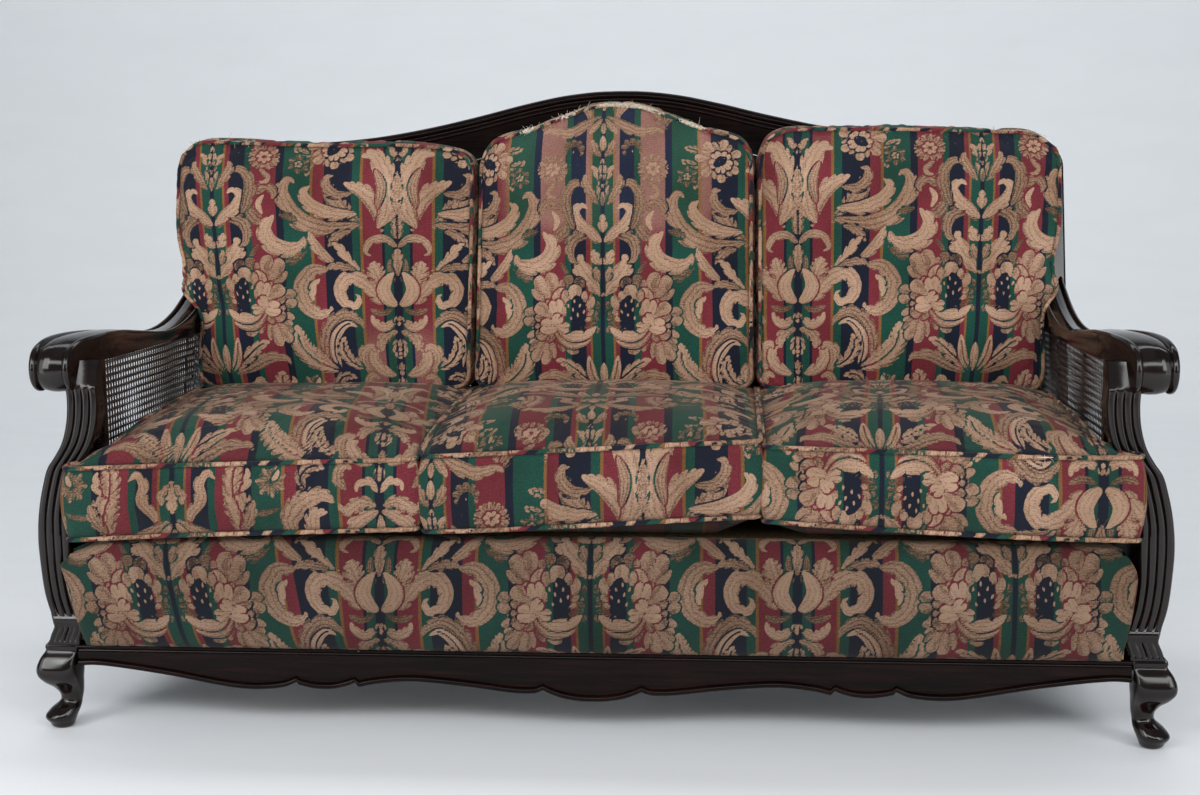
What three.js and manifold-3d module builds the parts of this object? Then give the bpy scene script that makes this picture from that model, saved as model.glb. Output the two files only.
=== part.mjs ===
// A bergère sofa for three: a dark polished wood show frame with scrolled arms, reeded and bowed arm posts,
// cabriole front legs, a camel-back crest and caned sides and back, around a sprung and padded seat with
// three loose seat cushions and three loose back cushions.
// Millimetres. X runs to the right as seen from the front, Y runs from front to back, +Z is up.
// The frame's origin is on the floor, under the middle of the whole object.
import * as THREE from "three";
import Module from "manifold-3d";
import { mergeVertices } from "three/addons/utils/BufferGeometryUtils.js";

const wasm = await Module();
wasm.setup();

// ---- driving dimensions. "Depth" is measured back from the front face of the apron. ----
const GAP = 0.3; // between pieces that touch
const RAIL_TOP = 143; // top of the front leg and of the aprons
const RAIL_HEIGHT = 92; // hidden beech seat rails, above RAIL_TOP
const APRON_THICK = 24;
const SEAT_RAIL_FRONT = 6;
const SEAT_RAIL_THICK = 28;
const LEG_IN = 849; // inner face of the front leg's top block
const LEG_OUT = 903;
const LEG_DEPTH = 54;
const POST_WIDE = 50;
const POST_DEEP = 45;
const POST_TOP = 630; // the post is housed in the arm above its reeds
const POST_HEAD_OUT = 848; // outer face of its head
const SIDE_IN = 803; // inner face of the arm frames and back posts
const SIDE_OUT = 860;
const RAIL_OUT = 836; // outer face of the hidden side rails
const STILE_THICK = 15;
const STILE_OUT = 856;
const ARM_UNDER = 606; // underside of the arm, and top of the side canework
const SIDE_RAIL_TOP = RAIL_TOP + GAP + RAIL_HEIGHT;
const CANE_THICK = 2;
const CANE_IN = 811; // the double canework's inner and outer sheets
const CANE_OUT = 842;
const RAKE = THREE.MathUtils.degToRad(14.3);
const BACK_FRONT_AT_SEAT = 546.5; // front face of the back frame at RAKE_FROM
const RAKE_FROM = 240;
const BACK_THICK = 36;
const LOWER_RAIL = [300, 345]; // bottom and top of the back's lower rail
const MUNTIN_AT = 270;
const MUNTIN_WIDE = 32;
const BORDER_FRONT = -28;
const BORDER_BACK = 44;
const BORDER_TOP = 327;
const CUSHION_FRONT = -22;
const CUSHION_UNDER = 328;
const EAR = 852; // the outer seat cushions reach this far across the front of the arm posts
const EAR_BACK = -2;
const CUSHION_SPLIT = 270; // where the seat cushions meet, either side of the middle
const SEAT_DEEP = 580;
const BACK_CUSHION_FOOT = 501;
const BACK_CUSHION_THICK = 130;
const CREST_THICK = BACK_THICK - 4;
const CREST_TOP = 1067;

const backFront = (z) => BACK_FRONT_AT_SEAT + (z - RAKE_FROM) * Math.tan(RAKE);

// ---- materials ----
const material = (color, roughness, metalness = 0) =>
  new THREE.MeshStandardMaterial({ color, roughness, metalness });
const mahogany = material("#24120d", 0.3);
const beech = material("#a98a63", 0.7);
const cane = material("#2b1a10", 0.6);
const jute = material("#8d7350", 0.9);
const hessian = material("#9a8360", 0.95);
const springSteel = material("#77726a", 0.4, 0.9);
const jacquard = material("#6f5a45", 0.85);
const blackLining = material("#1b1a19", 0.95);

const sofa = new THREE.Group();

function place(name, geometry, surface) {
  const mesh = new THREE.Mesh(geometry, surface);
  mesh.name = name;
  sofa.add(mesh);
  return mesh;
}

// ---- shape helpers ----
// A closed ring of points as triangles, turned the same way round as the ring.
function capFaces(ring) {
  const normal = new THREE.Vector3();
  ring.forEach((p, j) => {
    const q = ring[(j + 1) % ring.length];
    normal.add(new THREE.Vector3(...p).cross(new THREE.Vector3(...q)));
  });
  // flattened along whichever axis it faces most
  const size = normal.toArray().map(Math.abs);
  const axis = size.indexOf(Math.max(...size));
  const flat = ring.map((p) => new THREE.Vector2(p[(axis + 1) % 3], p[(axis + 2) % 3]));
  const { area } = THREE.ShapeUtils;
  const faces = THREE.ShapeUtils.triangulateShape(flat, []);
  const covered = faces.reduce((sum, face) => sum + area(face.map((k) => flat[k])), 0);
  return covered * area(flat) > 0 ? faces : faces.map(([a, b, c]) => [a, c, b]);
}

// A closed skin over rings of equal point count. Rings are counterclockwise about the way they advance.
function loft(rings) {
  const n = rings[0].length;
  const faces = [];
  for (let i = 0; i + 1 < rings.length; i++)
    for (let j = 0; j < n; j++) {
      const a = i * n + j;
      const b = i * n + ((j + 1) % n);
      faces.push(a, b, b + n, a, b + n, a + n);
    }
  capFaces(rings[0]).forEach(([a, b, c]) => faces.push(a, c, b));
  const last = (rings.length - 1) * n;
  capFaces(rings[rings.length - 1]).forEach(([a, b, c]) => faces.push(last + a, last + b, last + c));
  const geometry = new THREE.BufferGeometry();
  geometry.setAttribute("position", new THREE.Float32BufferAttribute(rings.flat(2), 3));
  geometry.setIndex(faces);
  return geometry;
}

// A box between two corners, given as [x, y, z].
function box(low, high) {
  const size = high.map((v, k) => v - low[k]);
  return new THREE.BoxGeometry(...size).translate(...low.map((v, k) => v + size[k] / 2));
}

// A board cut from an outline of [depth, height] points, standing across X from x0 to x1.
function sideBoard(outline, x0, x1) {
  const shape = new THREE.Shape(outline.map(([d, z]) => new THREE.Vector2(d, z)));
  const geometry = new THREE.ExtrudeGeometry(shape, { depth: x1 - x0, bevelEnabled: false });
  // the shape's x, y and depth become Y, Z and X
  return geometry.applyMatrix4(new THREE.Matrix4().makeBasis(
    new THREE.Vector3(0, 1, 0), new THREE.Vector3(0, 0, 1), new THREE.Vector3(1, 0, 0),
  ).setPosition(x0, 0, 0));
}

// A board cut from an outline of [x, height] points, running back from depth d0 to d1.
function frontBoard(outline, d0, d1) {
  const shape = new THREE.Shape(outline.map(([x, z]) => new THREE.Vector2(x, z)));
  const geometry = new THREE.ExtrudeGeometry(shape, { depth: d1 - d0, bevelEnabled: false });
  return geometry.rotateX(Math.PI / 2).translate(0, d1, 0);
}

// The same board leaning back with the rake. The outline's heights are true heights, and the board's face is
// "behind" back from the front plane of the back frame.
function rakedBoard(outline, behind, thick) {
  const geometry = frontBoard(outline, 0, thick);
  const shear = new THREE.Matrix4().set(
    1, 0, 0, 0,
    0, 1, Math.tan(RAKE), BACK_FRONT_AT_SEAT - RAKE_FROM * Math.tan(RAKE) + behind,
    0, 0, 1, 0,
    0, 0, 0, 1,
  );
  return geometry.applyMatrix4(shear);
}

// The mirror image of a right-hand piece, with its faces turned to point out again.
function mirrored(geometry) {
  const copy = (geometry.index ? geometry.toNonIndexed() : geometry.clone()).scale(-1, 1, 1);
  const p = copy.getAttribute("position");
  for (let i = 0; i < p.count; i += 3) {
    const [a, b] = [i + 1, i + 2].map((k) => [p.getX(k), p.getY(k), p.getZ(k)]);
    p.setXYZ(i + 1, ...b);
    p.setXYZ(i + 2, ...a);
  }
  return copy;
}

function pair(name, geometry, surface) {
  place("right_" + name, geometry, surface);
  place("left_" + name, mirrored(geometry), surface);
}

function toSolid(geometry) {
  const bare = (geometry.index ? geometry.toNonIndexed() : geometry.clone());
  bare.deleteAttribute("normal");
  bare.deleteAttribute("uv");
  const merged = mergeVertices(bare, 1e-3);
  return new wasm.Manifold(new wasm.Mesh({
    numProp: 3,
    vertProperties: merged.getAttribute("position").array,
    triVerts: new Uint32Array(merged.index.array),
  }));
}

function toGeometry(solid) {
  const { vertProperties, triVerts } = solid.getMesh();
  const geometry = new THREE.BufferGeometry();
  geometry.setAttribute("position", new THREE.BufferAttribute(vertProperties, 3));
  geometry.setIndex(new THREE.BufferAttribute(triVerts, 1));
  return geometry;
}

// Values between hand-set [at, value] stations, on one smooth curve.
function through(stations) {
  const curve = new THREE.CatmullRomCurve3(
    stations.map(([at, value]) => new THREE.Vector3(at, value, 0)), false, "centripetal");
  const samples = curve.getPoints(stations.length * 12);
  return (at) => {
    const next = samples.findIndex((p) => p.x >= at);
    if (next < 1) return (next < 0 ? samples[samples.length - 1] : samples[0]).y;
    const [p, q] = [samples[next - 1], samples[next]];
    return THREE.MathUtils.mapLinear(at, p.x, q.x, p.y, q.y);
  };
}

function smoothLine(points, steps) {
  const curve = new THREE.SplineCurve(points.map(([x, y]) => new THREE.Vector2(x, y)));
  return curve.getPoints(steps).map((p) => [p.x, p.y]);
}

const range = (n) => Array.from({ length: n }, (_, i) => i);

// ---- front cabriole leg: square top, knee swelling out at 45 degrees, thin ankle, pad foot ----
const LEG_SIDES = 16;
const LEG_PROUD = 2; // its top block stands forward of the apron
// [height, half width, outward shift, squareness of the section]
const LEG_STATIONS = [
  [0, 14, 9, 2], [7, 19, 10, 2], [19, 26, 11, 2], [31, 24, 5, 2], [43, 17.5, -2, 2.2], [54, 18, -3, 2.5],
  [67, 22, 0, 3], [80, 29, 6, 3.4], [92, 33, 9, 4], [105, 33, 9, 5], [120, 30, 6, 7], [134, 27, 0, 12],
  [RAIL_TOP, 27, 0, 12],
];
function frontLeg() {
  const middle = [(LEG_IN + LEG_OUT) / 2, LEG_DEPTH / 2 - LEG_PROUD];
  return loft(LEG_STATIONS.map(([z, half, out, square]) =>
    range(LEG_SIDES).map((i) => {
      const a = (2 * Math.PI * (i + 0.5)) / LEG_SIDES;
      const round = (v) => Math.sign(v) * Math.abs(v) ** (2 / square);
      return [middle[0] + out + half * round(Math.cos(a)), middle[1] - out + half * round(Math.sin(a)), z];
    })));
}
pair("front_leg", frontLeg(), mahogany);

// ---- front apron: a board whose lower edge swags in three lobes each side of a middle drop ----
const APRON_EDGE = [
  // half of the lower edge from the leg to the middle, as [x, height] runs that meet in cusps
  [[848.7, 107], [818, 108], [711, 95], [584, 73.5], [541, 72], [502, 77], [484, 85]],
  [[480, 80], [456, 75], [426, 74.5], [400, 80], [388, 85]],
  [[381, 78], [360, 83], [300, 89], [213, 83], [120, 72.5], [90, 73.5], [80, 78]],
  [[72, 74], [50, 66], [20, 61], [0, 60.5]],
];
const apronHalf = APRON_EDGE.flatMap((run) => smoothLine(run, 7));
const apronOutline = [
  ...apronHalf.map(([x, z]) => [-x, z]),
  ...apronHalf.slice(0, -1).reverse(),
  [LEG_IN - GAP, RAIL_TOP],
  [-LEG_IN + GAP, RAIL_TOP],
];
place("front_apron", frontBoard(apronOutline, 0, APRON_THICK), mahogany);

// ---- reeded arm post: a bowed S seen from the front, of even width, on a flared collar ----
const POST_EDGE = [
  // [height, outer x]
  [RAIL_TOP + GAP, 899], [158, 894], [172, 888], [182, 887], [196, 892], [227, 900], [274, 905], [321, 907],
  [367, 903], [409, 894], [437, 885], [456, 872], [479, 859], [511, 850], [543, 847], [572, POST_HEAD_OUT],
  [600, POST_HEAD_OUT], [POST_TOP, POST_HEAD_OUT],
];
const REEDS = 4;
const REED_DEEP = 4;
const REED_END = 570;
const postWide = (z) => (z < 190 ? POST_WIDE + (190 - z) * 0.06 : POST_WIDE);
// Above the reeds the front face turns to follow the flare of the arm: its inner corner moves back.
const POST_TURN = 42;
function armPost() {
  return loft(POST_EDGE.map(([z, outer]) => {
    const inner = outer - postWide(z);
    const reed = z > REED_END ? 0 : REED_DEEP;
    const turn = z > REED_END ? (POST_TURN * (z - REED_END)) / (POST_TOP - REED_END) : 0;
    // front face from the inner edge to the outer edge, a hollow each side of every reed
    const front = range(REEDS * 2 + 1).map((k) => {
      const across = k / (REEDS * 2);
      return [inner + postWide(z) * across, (k % 2 === 0 ? reed : 0) + turn * (1 - across), z];
    });
    return [...front, [outer, POST_DEEP, z], [inner, POST_DEEP, z]];
  }));
}
pair("arm_post", armPost(), mahogany);

// ---- arm: its side outline is carried across its width, which flares out at the front scroll ----
const armInner = through([[-40, 834], [-10, 832], [25, 823], [60, 812], [100, 805], [160, 803], [700, 803]]);
const armOuter = through([
  [-40, 900], [0, 900], [50, 895], [100, 884], [150, 873], [250, 861], [400, 855], [700, 855],
]);
const ARM_TOP = [
  // [depth, height] from the back post forward and round the scroll
  [584, 668], [531, 649], [464, 634], [400, 628], [340, 630], [234, 641], [148, 650], [70, 651], [20, 644],
  [-8, 630], [-20, 606], [-17, 582], [-3, 566], [15, 561], [33, 566],
];
const ARM_HIGH_END = 704;
// [fraction across the arm, how far that line is cut in from the outline]: an edge bead, a hollow, a broad
// crown, and the same again.
const ARM_PROFILE = [
  [0, 7], [0.07, 1], [0.2, 0], [0.28, 5], [0.55, 1], [0.8, 5], [0.88, 1], [0.95, 2], [1, 9],
];
function arm() {
  const upper = smoothLine([[backFront(ARM_HIGH_END) - GAP, ARM_HIGH_END], ...ARM_TOP], 30);
  const loop = [...upper, [POST_DEEP, 580], [POST_DEEP, ARM_UNDER], [backFront(ARM_UNDER) - GAP, ARM_UNDER]];
  const cutIn = (i) => {
    if (i === 0 || i >= upper.length) return [0, 0];
    const [p, q] = [loop[i - 1], loop[Math.min(i + 1, upper.length - 1)]];
    const long = Math.hypot(q[0] - p[0], q[1] - p[1]);
    return [(q[1] - p[1]) / long, -(q[0] - p[0]) / long];
  };
  const rings = ARM_PROFILE.map(([across, depth]) =>
    loop.map(([d, z], i) => {
      const [nd, nz] = cutIn(i);
      // the end against the back post drops along the rake
      const edge = i === 0 ? [-depth * Math.tan(RAKE), -depth] : [-nd * depth, -nz * depth];
      const at = d + edge[0];
      return [armInner(at) + (armOuter(at) - armInner(at)) * across, at, z + edge[1]];
    }));
  const board = toSolid(loft(rings));
  // room for the head of the post, which enters from below and from the inner side
  const housing = toSolid(box(
    [SIDE_IN - 20, -GAP, 540], [POST_HEAD_OUT + GAP, POST_DEEP + GAP, POST_TOP + GAP]));
  return toGeometry(board.subtract(housing));
}
pair("arm_rail", arm(), mahogany);

// ---- stile behind the post, which carries the front edge of the side canework ----
const stileBack = POST_DEEP + GAP + STILE_THICK;
pair("arm_stile", box(
  [SIDE_IN, POST_DEEP + GAP, SIDE_RAIL_TOP + GAP], [STILE_OUT, stileBack, ARM_UNDER - GAP]), mahogany);

// ---- back post and rear leg in one piece ----
const POST_MIDDLE = through([
  [0, 672], [60, 644], [140, 606], [190, 584], [RAKE_FROM, BACK_FRONT_AT_SEAT + BACK_THICK / 2],
]);
const backMiddle = (z) => (z < RAKE_FROM ? POST_MIDDLE(z) : backFront(z) + BACK_THICK / 2);
const CREST_FOOT = 885.3; // underside of the crest over the posts
const POST_HEIGHTS = [0, 30, 60, 90, 120, RAIL_TOP, 166, 190, 215, RAKE_FROM, 560, CREST_FOOT - GAP];
function backPost() {
  const bevel = 5;
  return loft(POST_HEIGHTS.map((z) => {
    const half = z < 60 ? 15 + z / 20 : BACK_THICK / 2;
    const middle = backMiddle(z);
    const [f, b] = [middle - half, middle + half];
    return [
      [SIDE_IN + bevel, f, z], [SIDE_OUT - bevel, f, z], [SIDE_OUT, f + bevel, z], [SIDE_OUT, b - bevel, z],
      [SIDE_OUT - bevel, b, z], [SIDE_IN + bevel, b, z], [SIDE_IN, b - bevel, z], [SIDE_IN, f + bevel, z],
    ];
  }));
}
pair("back_post", backPost(), mahogany);

// ---- crest: a camel-back board over both posts ----
const CREST_HALF = [
  [0, CREST_TOP], [50, 1065.5], [120, 1057], [200, 1040], [280, 1020], [384, 997], [480, 981], [560, 973],
  [660, 968], [740, 967], [805, 963], [842, 950], [858, 925], [SIDE_OUT, 886],
];
const crestRight = smoothLine(CREST_HALF, 26);
const CREST_FACET = 100; // spacing of the points along its lower edge, which arches up between +-ARCH_HALF
const ARCH_HALF = 560;
const ARCH_RISE = 100;
function crestUnder(x) {
  const across = Math.min(Math.abs(x) / ARCH_HALF, 1);
  return CREST_FOOT + ARCH_RISE * Math.cos((across * Math.PI) / 2) ** 2;
}
const crestFacets = range(17).map((i) => 8 * CREST_FACET - i * CREST_FACET);
const crestOutline = [
  ...crestRight.slice(1).map(([x, z]) => [-x, z]).reverse(),
  ...crestRight,
  ...crestFacets.map((x) => [x, crestUnder(x)]),
];
place("crest_rail", rakedBoard(crestOutline.reverse(), 0, CREST_THICK), mahogany);

// ---- back frame inside the posts ----
const inside = SIDE_IN - GAP;
place("back_lower_rail", rakedBoard([
  [-inside, LOWER_RAIL[0]], [inside, LOWER_RAIL[0]], [inside, LOWER_RAIL[1]], [-inside, LOWER_RAIL[1]],
], 2, 28), mahogany);
const muntinFoot = LOWER_RAIL[1] + GAP;
const muntinSides = [MUNTIN_AT - MUNTIN_WIDE / 2, MUNTIN_AT + MUNTIN_WIDE / 2];
// the muntins and cane stop just under the crest's faceted lower edge
function underCrest(x) {
  const low = Math.floor(x / CREST_FACET) * CREST_FACET;
  const t = (x - low) / CREST_FACET;
  return crestUnder(low) * (1 - t) + crestUnder(low + CREST_FACET) * t - 3 * GAP;
}
pair("back_muntin", rakedBoard([
  [muntinSides[0], muntinFoot], [muntinSides[1], muntinFoot], [muntinSides[1], underCrest(muntinSides[1])],
  [muntinSides[0], underCrest(muntinSides[0])],
], 4, 24), mahogany);

// ---- canework, as thin sheets of its true outline ----
const backCane = (x0, x1) => {
  const facets = crestFacets.filter((x) => x > x0 && x < x1);
  const top = [x1, ...facets, x0].map((x) => [x, underCrest(x) - GAP]);
  return rakedBoard([[x0, muntinFoot], [x1, muntinFoot], ...top], 14, CANE_THICK);
};
place("back_cane_centre", backCane(-muntinSides[0] + GAP, muntinSides[0] - GAP), cane);
pair("back_cane", backCane(muntinSides[1] + GAP, inside), cane);
const sideCane = [
  [stileBack + GAP, SIDE_RAIL_TOP + GAP], [backFront(SIDE_RAIL_TOP) - 2, SIDE_RAIL_TOP + GAP],
  [backFront(ARM_UNDER) - 2 * GAP, ARM_UNDER - GAP], [stileBack + GAP, ARM_UNDER - GAP],
];
pair("arm_cane_inner", sideBoard(sideCane, CANE_IN, CANE_IN + CANE_THICK), cane);
pair("arm_cane_outer", sideBoard(sideCane, CANE_OUT, CANE_OUT + CANE_THICK), cane);

// ---- seat frame ----
const seatRailBack = SEAT_RAIL_FRONT + SEAT_RAIL_THICK;
const seatRailFoot = RAIL_TOP + GAP;
place("front_seat_rail", box(
  [-RAIL_OUT, SEAT_RAIL_FRONT, seatRailFoot], [RAIL_OUT, seatRailBack, SIDE_RAIL_TOP]), beech);
const rearRail = [546, 572];
place("rear_seat_rail", box(
  [-inside, rearRail[0], seatRailFoot], [inside, rearRail[1], SIDE_RAIL_TOP]), mahogany);
const railEnd = (z) => backMiddle(z) - BACK_THICK / 2 - 2;
const railEndLine = [190, SIDE_RAIL_TOP].map((z) => [railEnd(z), z]);
const sideRailFront = seatRailBack + GAP;
pair("side_rail", sideBoard([
  [sideRailFront, seatRailFoot],
  [railEnd(seatRailFoot), seatRailFoot],
  ...railEndLine,
  [sideRailFront, SIDE_RAIL_TOP],
], SIDE_IN, RAIL_OUT), beech);
const sideApronFoot = smoothLine([
  [LEG_DEPTH, 108], [130, 106], [230, 96], [320, 92], [410, 96], [500, 106], [railEnd(112), 112],
], 14);
pair("side_apron", sideBoard(
  [...sideApronFoot, ...railEndLine, [LEG_DEPTH, SIDE_RAIL_TOP]], RAIL_OUT + GAP, SIDE_OUT - 2), mahogany);
const CROSS_RAIL = { at: 160, half: 15, top: 190 };
pair("cross_rail", box(
  [CROSS_RAIL.at - CROSS_RAIL.half, sideRailFront, seatRailFoot],
  [CROSS_RAIL.at + CROSS_RAIL.half, rearRail[0] - GAP, CROSS_RAIL.top]), beech);
const BLOCK = { side: 70, foot: 160, high: 40 };
const blockX = SIDE_IN - GAP;
const blockShape = new THREE.Shape([
  new THREE.Vector2(blockX, sideRailFront),
  new THREE.Vector2(blockX, sideRailFront + BLOCK.side),
  new THREE.Vector2(blockX - BLOCK.side, sideRailFront),
]);
const block = new THREE.ExtrudeGeometry(blockShape, { depth: BLOCK.high, bevelEnabled: false });
pair("corner_block", block.translate(0, 0, BLOCK.foot), beech);

// ---- webbing, springs, hessian, stuffing ----
const WEB_WIDE = 50;
const WEB_THICK = 2;
const WEB_AT = [-640, -320, 0, 320, 640];
const CROSS_WEB_AT = [200, 430];
const WEB_END = 832; // the side-to-side webs and the dust cover are tacked under the side rails
const WEB_BACK = 566;
const webFoot = RAIL_TOP - WEB_THICK;
const crossWebFoot = webFoot - GAP - WEB_THICK;
WEB_AT.forEach((x, i) => {
  const web = box([x - WEB_WIDE / 2, APRON_THICK + GAP, webFoot], [x + WEB_WIDE / 2, WEB_BACK, RAIL_TOP]);
  place(`webbing_front_to_back_${i + 1}`, web, jute);
});
CROSS_WEB_AT.forEach((d, i) => {
  const [front, back] = [d - WEB_WIDE / 2, d + WEB_WIDE / 2];
  const web = box([-WEB_END, front, crossWebFoot], [WEB_END, back, crossWebFoot + WEB_THICK]);
  place(`webbing_side_to_side_${i + 1}`, web, jute);
});

const HESSIAN_FOOT = 282;
const HESSIAN_THICK = 1.5;
const PLATFORM_TOP = 324;
const WIRE = 3.6; // diameter
const SPRING_TURNS = 4;
const SPRING_STEPS = 40;
const SPRING_MOUTH = 38;
const SPRING_WAIST = 24;
class CoilSpring extends THREE.Curve {
  constructor(foot, head) {
    super();
    this.foot = foot;
    this.head = head;
  }
  getPoint(t, target = new THREE.Vector3()) {
    const a = 2 * Math.PI * SPRING_TURNS * t;
    const r = SPRING_WAIST + (SPRING_MOUTH - SPRING_WAIST) * (2 * t - 1) ** 2;
    return target.set(r * Math.cos(a), r * Math.sin(a), this.foot + (this.head - this.foot) * t);
  }
}
const springPath = new CoilSpring(RAIL_TOP + GAP + WIRE, HESSIAN_FOOT - GAP - WIRE);
const wireSection = new THREE.Shape(range(5).map((i) => {
  const a = (2 * Math.PI * i) / 5;
  return new THREE.Vector2((WIRE / 2) * Math.cos(a), (WIRE / 2) * Math.sin(a));
}));
CROSS_WEB_AT.forEach((d, row) =>
  WEB_AT.forEach((x, column) => {
    const wire = new THREE.ExtrudeGeometry(wireSection, { steps: SPRING_STEPS, extrudePath: springPath });
    place(`coil_spring_${row + 1}_${column + 1}`, wire, springSteel).position.set(x, d, 0);
  }));

const padHalf = SIDE_IN - 4;
const padBack = backFront(SIDE_RAIL_TOP) - 2;
const padFront = BORDER_BACK + GAP;
const hessianTop = HESSIAN_FOOT + HESSIAN_THICK;
place("spring_hessian", box([-padHalf, padFront, HESSIAN_FOOT], [padHalf, padBack, hessianTop]), hessian);
const stuffing = box([-padHalf, padFront, hessianTop + GAP], [padHalf, padBack, PLATFORM_TOP]);
place("seat_stuffing", stuffing, hessian);
const DUST_THICK = 1.4;
const dustTop = crossWebFoot - GAP;
place("dust_cover", box(
  [-WEB_END, APRON_THICK + GAP, dustTop - DUST_THICK], [WEB_END, WEB_BACK, dustTop]), blackLining);

// ---- front border: covered stuffing that wraps over the front seat rail ----
const borderFoot = RAIL_TOP + GAP;
const borderRoll = [
  ...smoothLine([
    [-10, borderFoot], [-24, 170], [BORDER_FRONT, 225], [-24, 282], [-8, 314], [16, BORDER_TOP], [34, 325],
    [BORDER_BACK, 312],
  ], 12),
  [BORDER_BACK, SIDE_RAIL_TOP + GAP],
  [SEAT_RAIL_FRONT - GAP, SIDE_RAIL_TOP + GAP],
  [SEAT_RAIL_FRONT - GAP, borderFoot],
];
// seen from the front: a pulled, pointed upper corner on the left and a round one on the right
const BORDER_FACE = [
  [-832, borderFoot], [830, borderFoot], [845, 220], [850, 288], [838, 316], [815, 340],
  [-780, 340], [-800, 326], [-862, 303], [-868, 291], [-850, 210],
];
const BORDER_LAP = -1.5; // forward of this depth its ends lap over the fronts of the arm posts
const postInner = POST_EDGE.filter(([z]) => z < 400).map(([z, outer]) => [outer - postWide(z) - 1, z]);
const wellOut = SIDE_OUT + 60;
const postRoom = frontBoard(
  [...postInner, [wellOut, 400], [wellOut, borderFoot]].reverse(), BORDER_LAP, BORDER_BACK + 1);
const borderSolid = toSolid(sideBoard(borderRoll.reverse(), -wellOut, wellOut))
  .intersect(toSolid(frontBoard(BORDER_FACE, BORDER_FRONT - 1, BORDER_BACK + 1)))
  .subtract(toSolid(postRoom))
  .subtract(toSolid(mirrored(postRoom)));
place("front_border", toGeometry(borderSolid), jacquard);

// ---- loose cushions: a boxed form with round corners and a domed top ----
// outline: [x, depth] points, counterclockwise from above.
// levels: [height, how much of the outline's size is kept] from the bottom up.
function cushion(outline, levels) {
  const middle = [0, 1].map((k) => outline.reduce((s, p) => s + p[k] / outline.length, 0));
  return loft(levels.map(([z, keep]) =>
    outline.map(([x, d]) => [middle[0] + (x - middle[0]) * keep, middle[1] + (d - middle[1]) * keep, z])));
}
// A rectangle with round corners of the given radius, in steps.
function roundedRectangle(x0, x1, d0, d1, r) {
  const corners = [[x1 - r, d0 + r, -90], [x1 - r, d1 - r, 0], [x0 + r, d1 - r, 90], [x0 + r, d0 + r, 180]];
  return corners.flatMap(([x, d, start]) => range(5).map((i) => {
    const a = THREE.MathUtils.degToRad(start + i * 22.5);
    return [x + r * Math.cos(a), d + r * Math.sin(a)];
  }));
}
const seatLevels = (seam, crown) => [
  [CUSHION_UNDER, 0.84], [CUSHION_UNDER + 16, 0.985], [(CUSHION_UNDER + seam) / 2, 1], [seam, 0.985],
  [seam + (crown - seam) * 0.45, 0.86], [seam + (crown - seam) * 0.85, 0.55], [crown, 0.2],
];
const seatBack = CUSHION_FRONT + SEAT_DEEP;
const seatCushion = (x0, x1, seam, crown) =>
  cushion(roundedRectangle(x0, x1, CUSHION_FRONT, seatBack, 30), seatLevels(seam, crown));
// the arguments are the height of the top seam and of the crown
const centreSeat = seatCushion(-CUSHION_SPLIT + 1, CUSHION_SPLIT - 1, 476, 512);
place("centre_seat_cushion", centreSeat, jacquard);
// the outer two are cut back where they pass inside the arm posts, which leaves an ear across each post
const besideArm = toSolid(box([SIDE_IN - 3, EAR_BACK, 300], [SIDE_OUT + 40, 700, 600]));
const outerSeat = (seam, crown) =>
  toGeometry(toSolid(seatCushion(CUSHION_SPLIT + 1, EAR, seam, crown)).subtract(besideArm));
place("right_seat_cushion", outerSeat(472, 512), jacquard);
place("left_seat_cushion", mirrored(outerSeat(450, 502)), jacquard);

// Back cushions stand on the seat cushions and lean on the back frame. Their outline is in [x, height].
function backCushion(outline) {
  const middle = [0, 1].map((k) => outline.reduce((s, p) => s + p[k] / outline.length, 0));
  // [fraction of the thickness, how much of the outline's size is kept] from the back face forward
  const levels = [[0, 0.95], [0.1, 1], [0.55, 1], [0.8, 0.97], [0.94, 0.8], [1, 0.4]];
  return loft(levels.map(([forward, keep]) =>
    outline.map(([x, z]) => {
      const [px, pz] = [middle[0] + (x - middle[0]) * keep, middle[1] + (z - middle[1]) * keep];
      return [px, backFront(pz) - 1 - forward * BACK_CUSHION_THICK, pz];
    })));
}
const CENTRE_TOP = [[258, 938], [238, 968], [162, 993], [100, 1016], [45, 1034], [0, 1038]];
const centreOutline = [
  [-240, BACK_CUSHION_FOOT],
  [240, BACK_CUSHION_FOOT],
  [262, BACK_CUSHION_FOOT + 22],
  ...CENTRE_TOP,
  ...CENTRE_TOP.slice(0, -1).reverse().map(([x, z]) => [-x, z]),
  [-262, BACK_CUSHION_FOOT + 22],
];
place("centre_back_cushion", backCushion(centreOutline), jacquard);
// the outer two widen above the arms; the left one is the wider and the right one the taller
const outerBack = (upper) => backCushion([
  [300, BACK_CUSHION_FOOT], [776, BACK_CUSHION_FOOT], [798, BACK_CUSHION_FOOT + 24], [799, 712], ...upper,
  [272, BACK_CUSHION_FOOT + 22],
]);
place("right_back_cushion", outerBack([
  [826, 758], [834, 800], [836, 922], [824, 954], [788, 974], [712, 980], [530, 987], [329, 988], [292, 972],
  [274, 940],
]), jacquard);
place("left_back_cushion", mirrored(outerBack([
  [838, 758], [854, 800], [857, 922], [846, 956], [818, 974], [732, 972], [560, 966], [404, 965], [328, 957],
  [290, 940], [274, 915],
])), jacquard);

// The depths above start at the apron. The origin is midway between the border's front and the crest's back.
sofa.position.y = -(BORDER_FRONT + backFront(CREST_TOP) + CREST_THICK) / 2;

export default sofa;
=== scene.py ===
"""Looks for a caned show-frame sofa for three, with worn striped jacquard cushions.

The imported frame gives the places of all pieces. Each operator below makes one piece or one group of like
pieces around it: carved mahogany, woven cane, upholstery and the studio stage. Inside the shape functions
lengths are millimetres: x to the right, "depth" back from the apron's front face, and z up. place() turns
them into the frame's metres.
"""

import math

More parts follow.
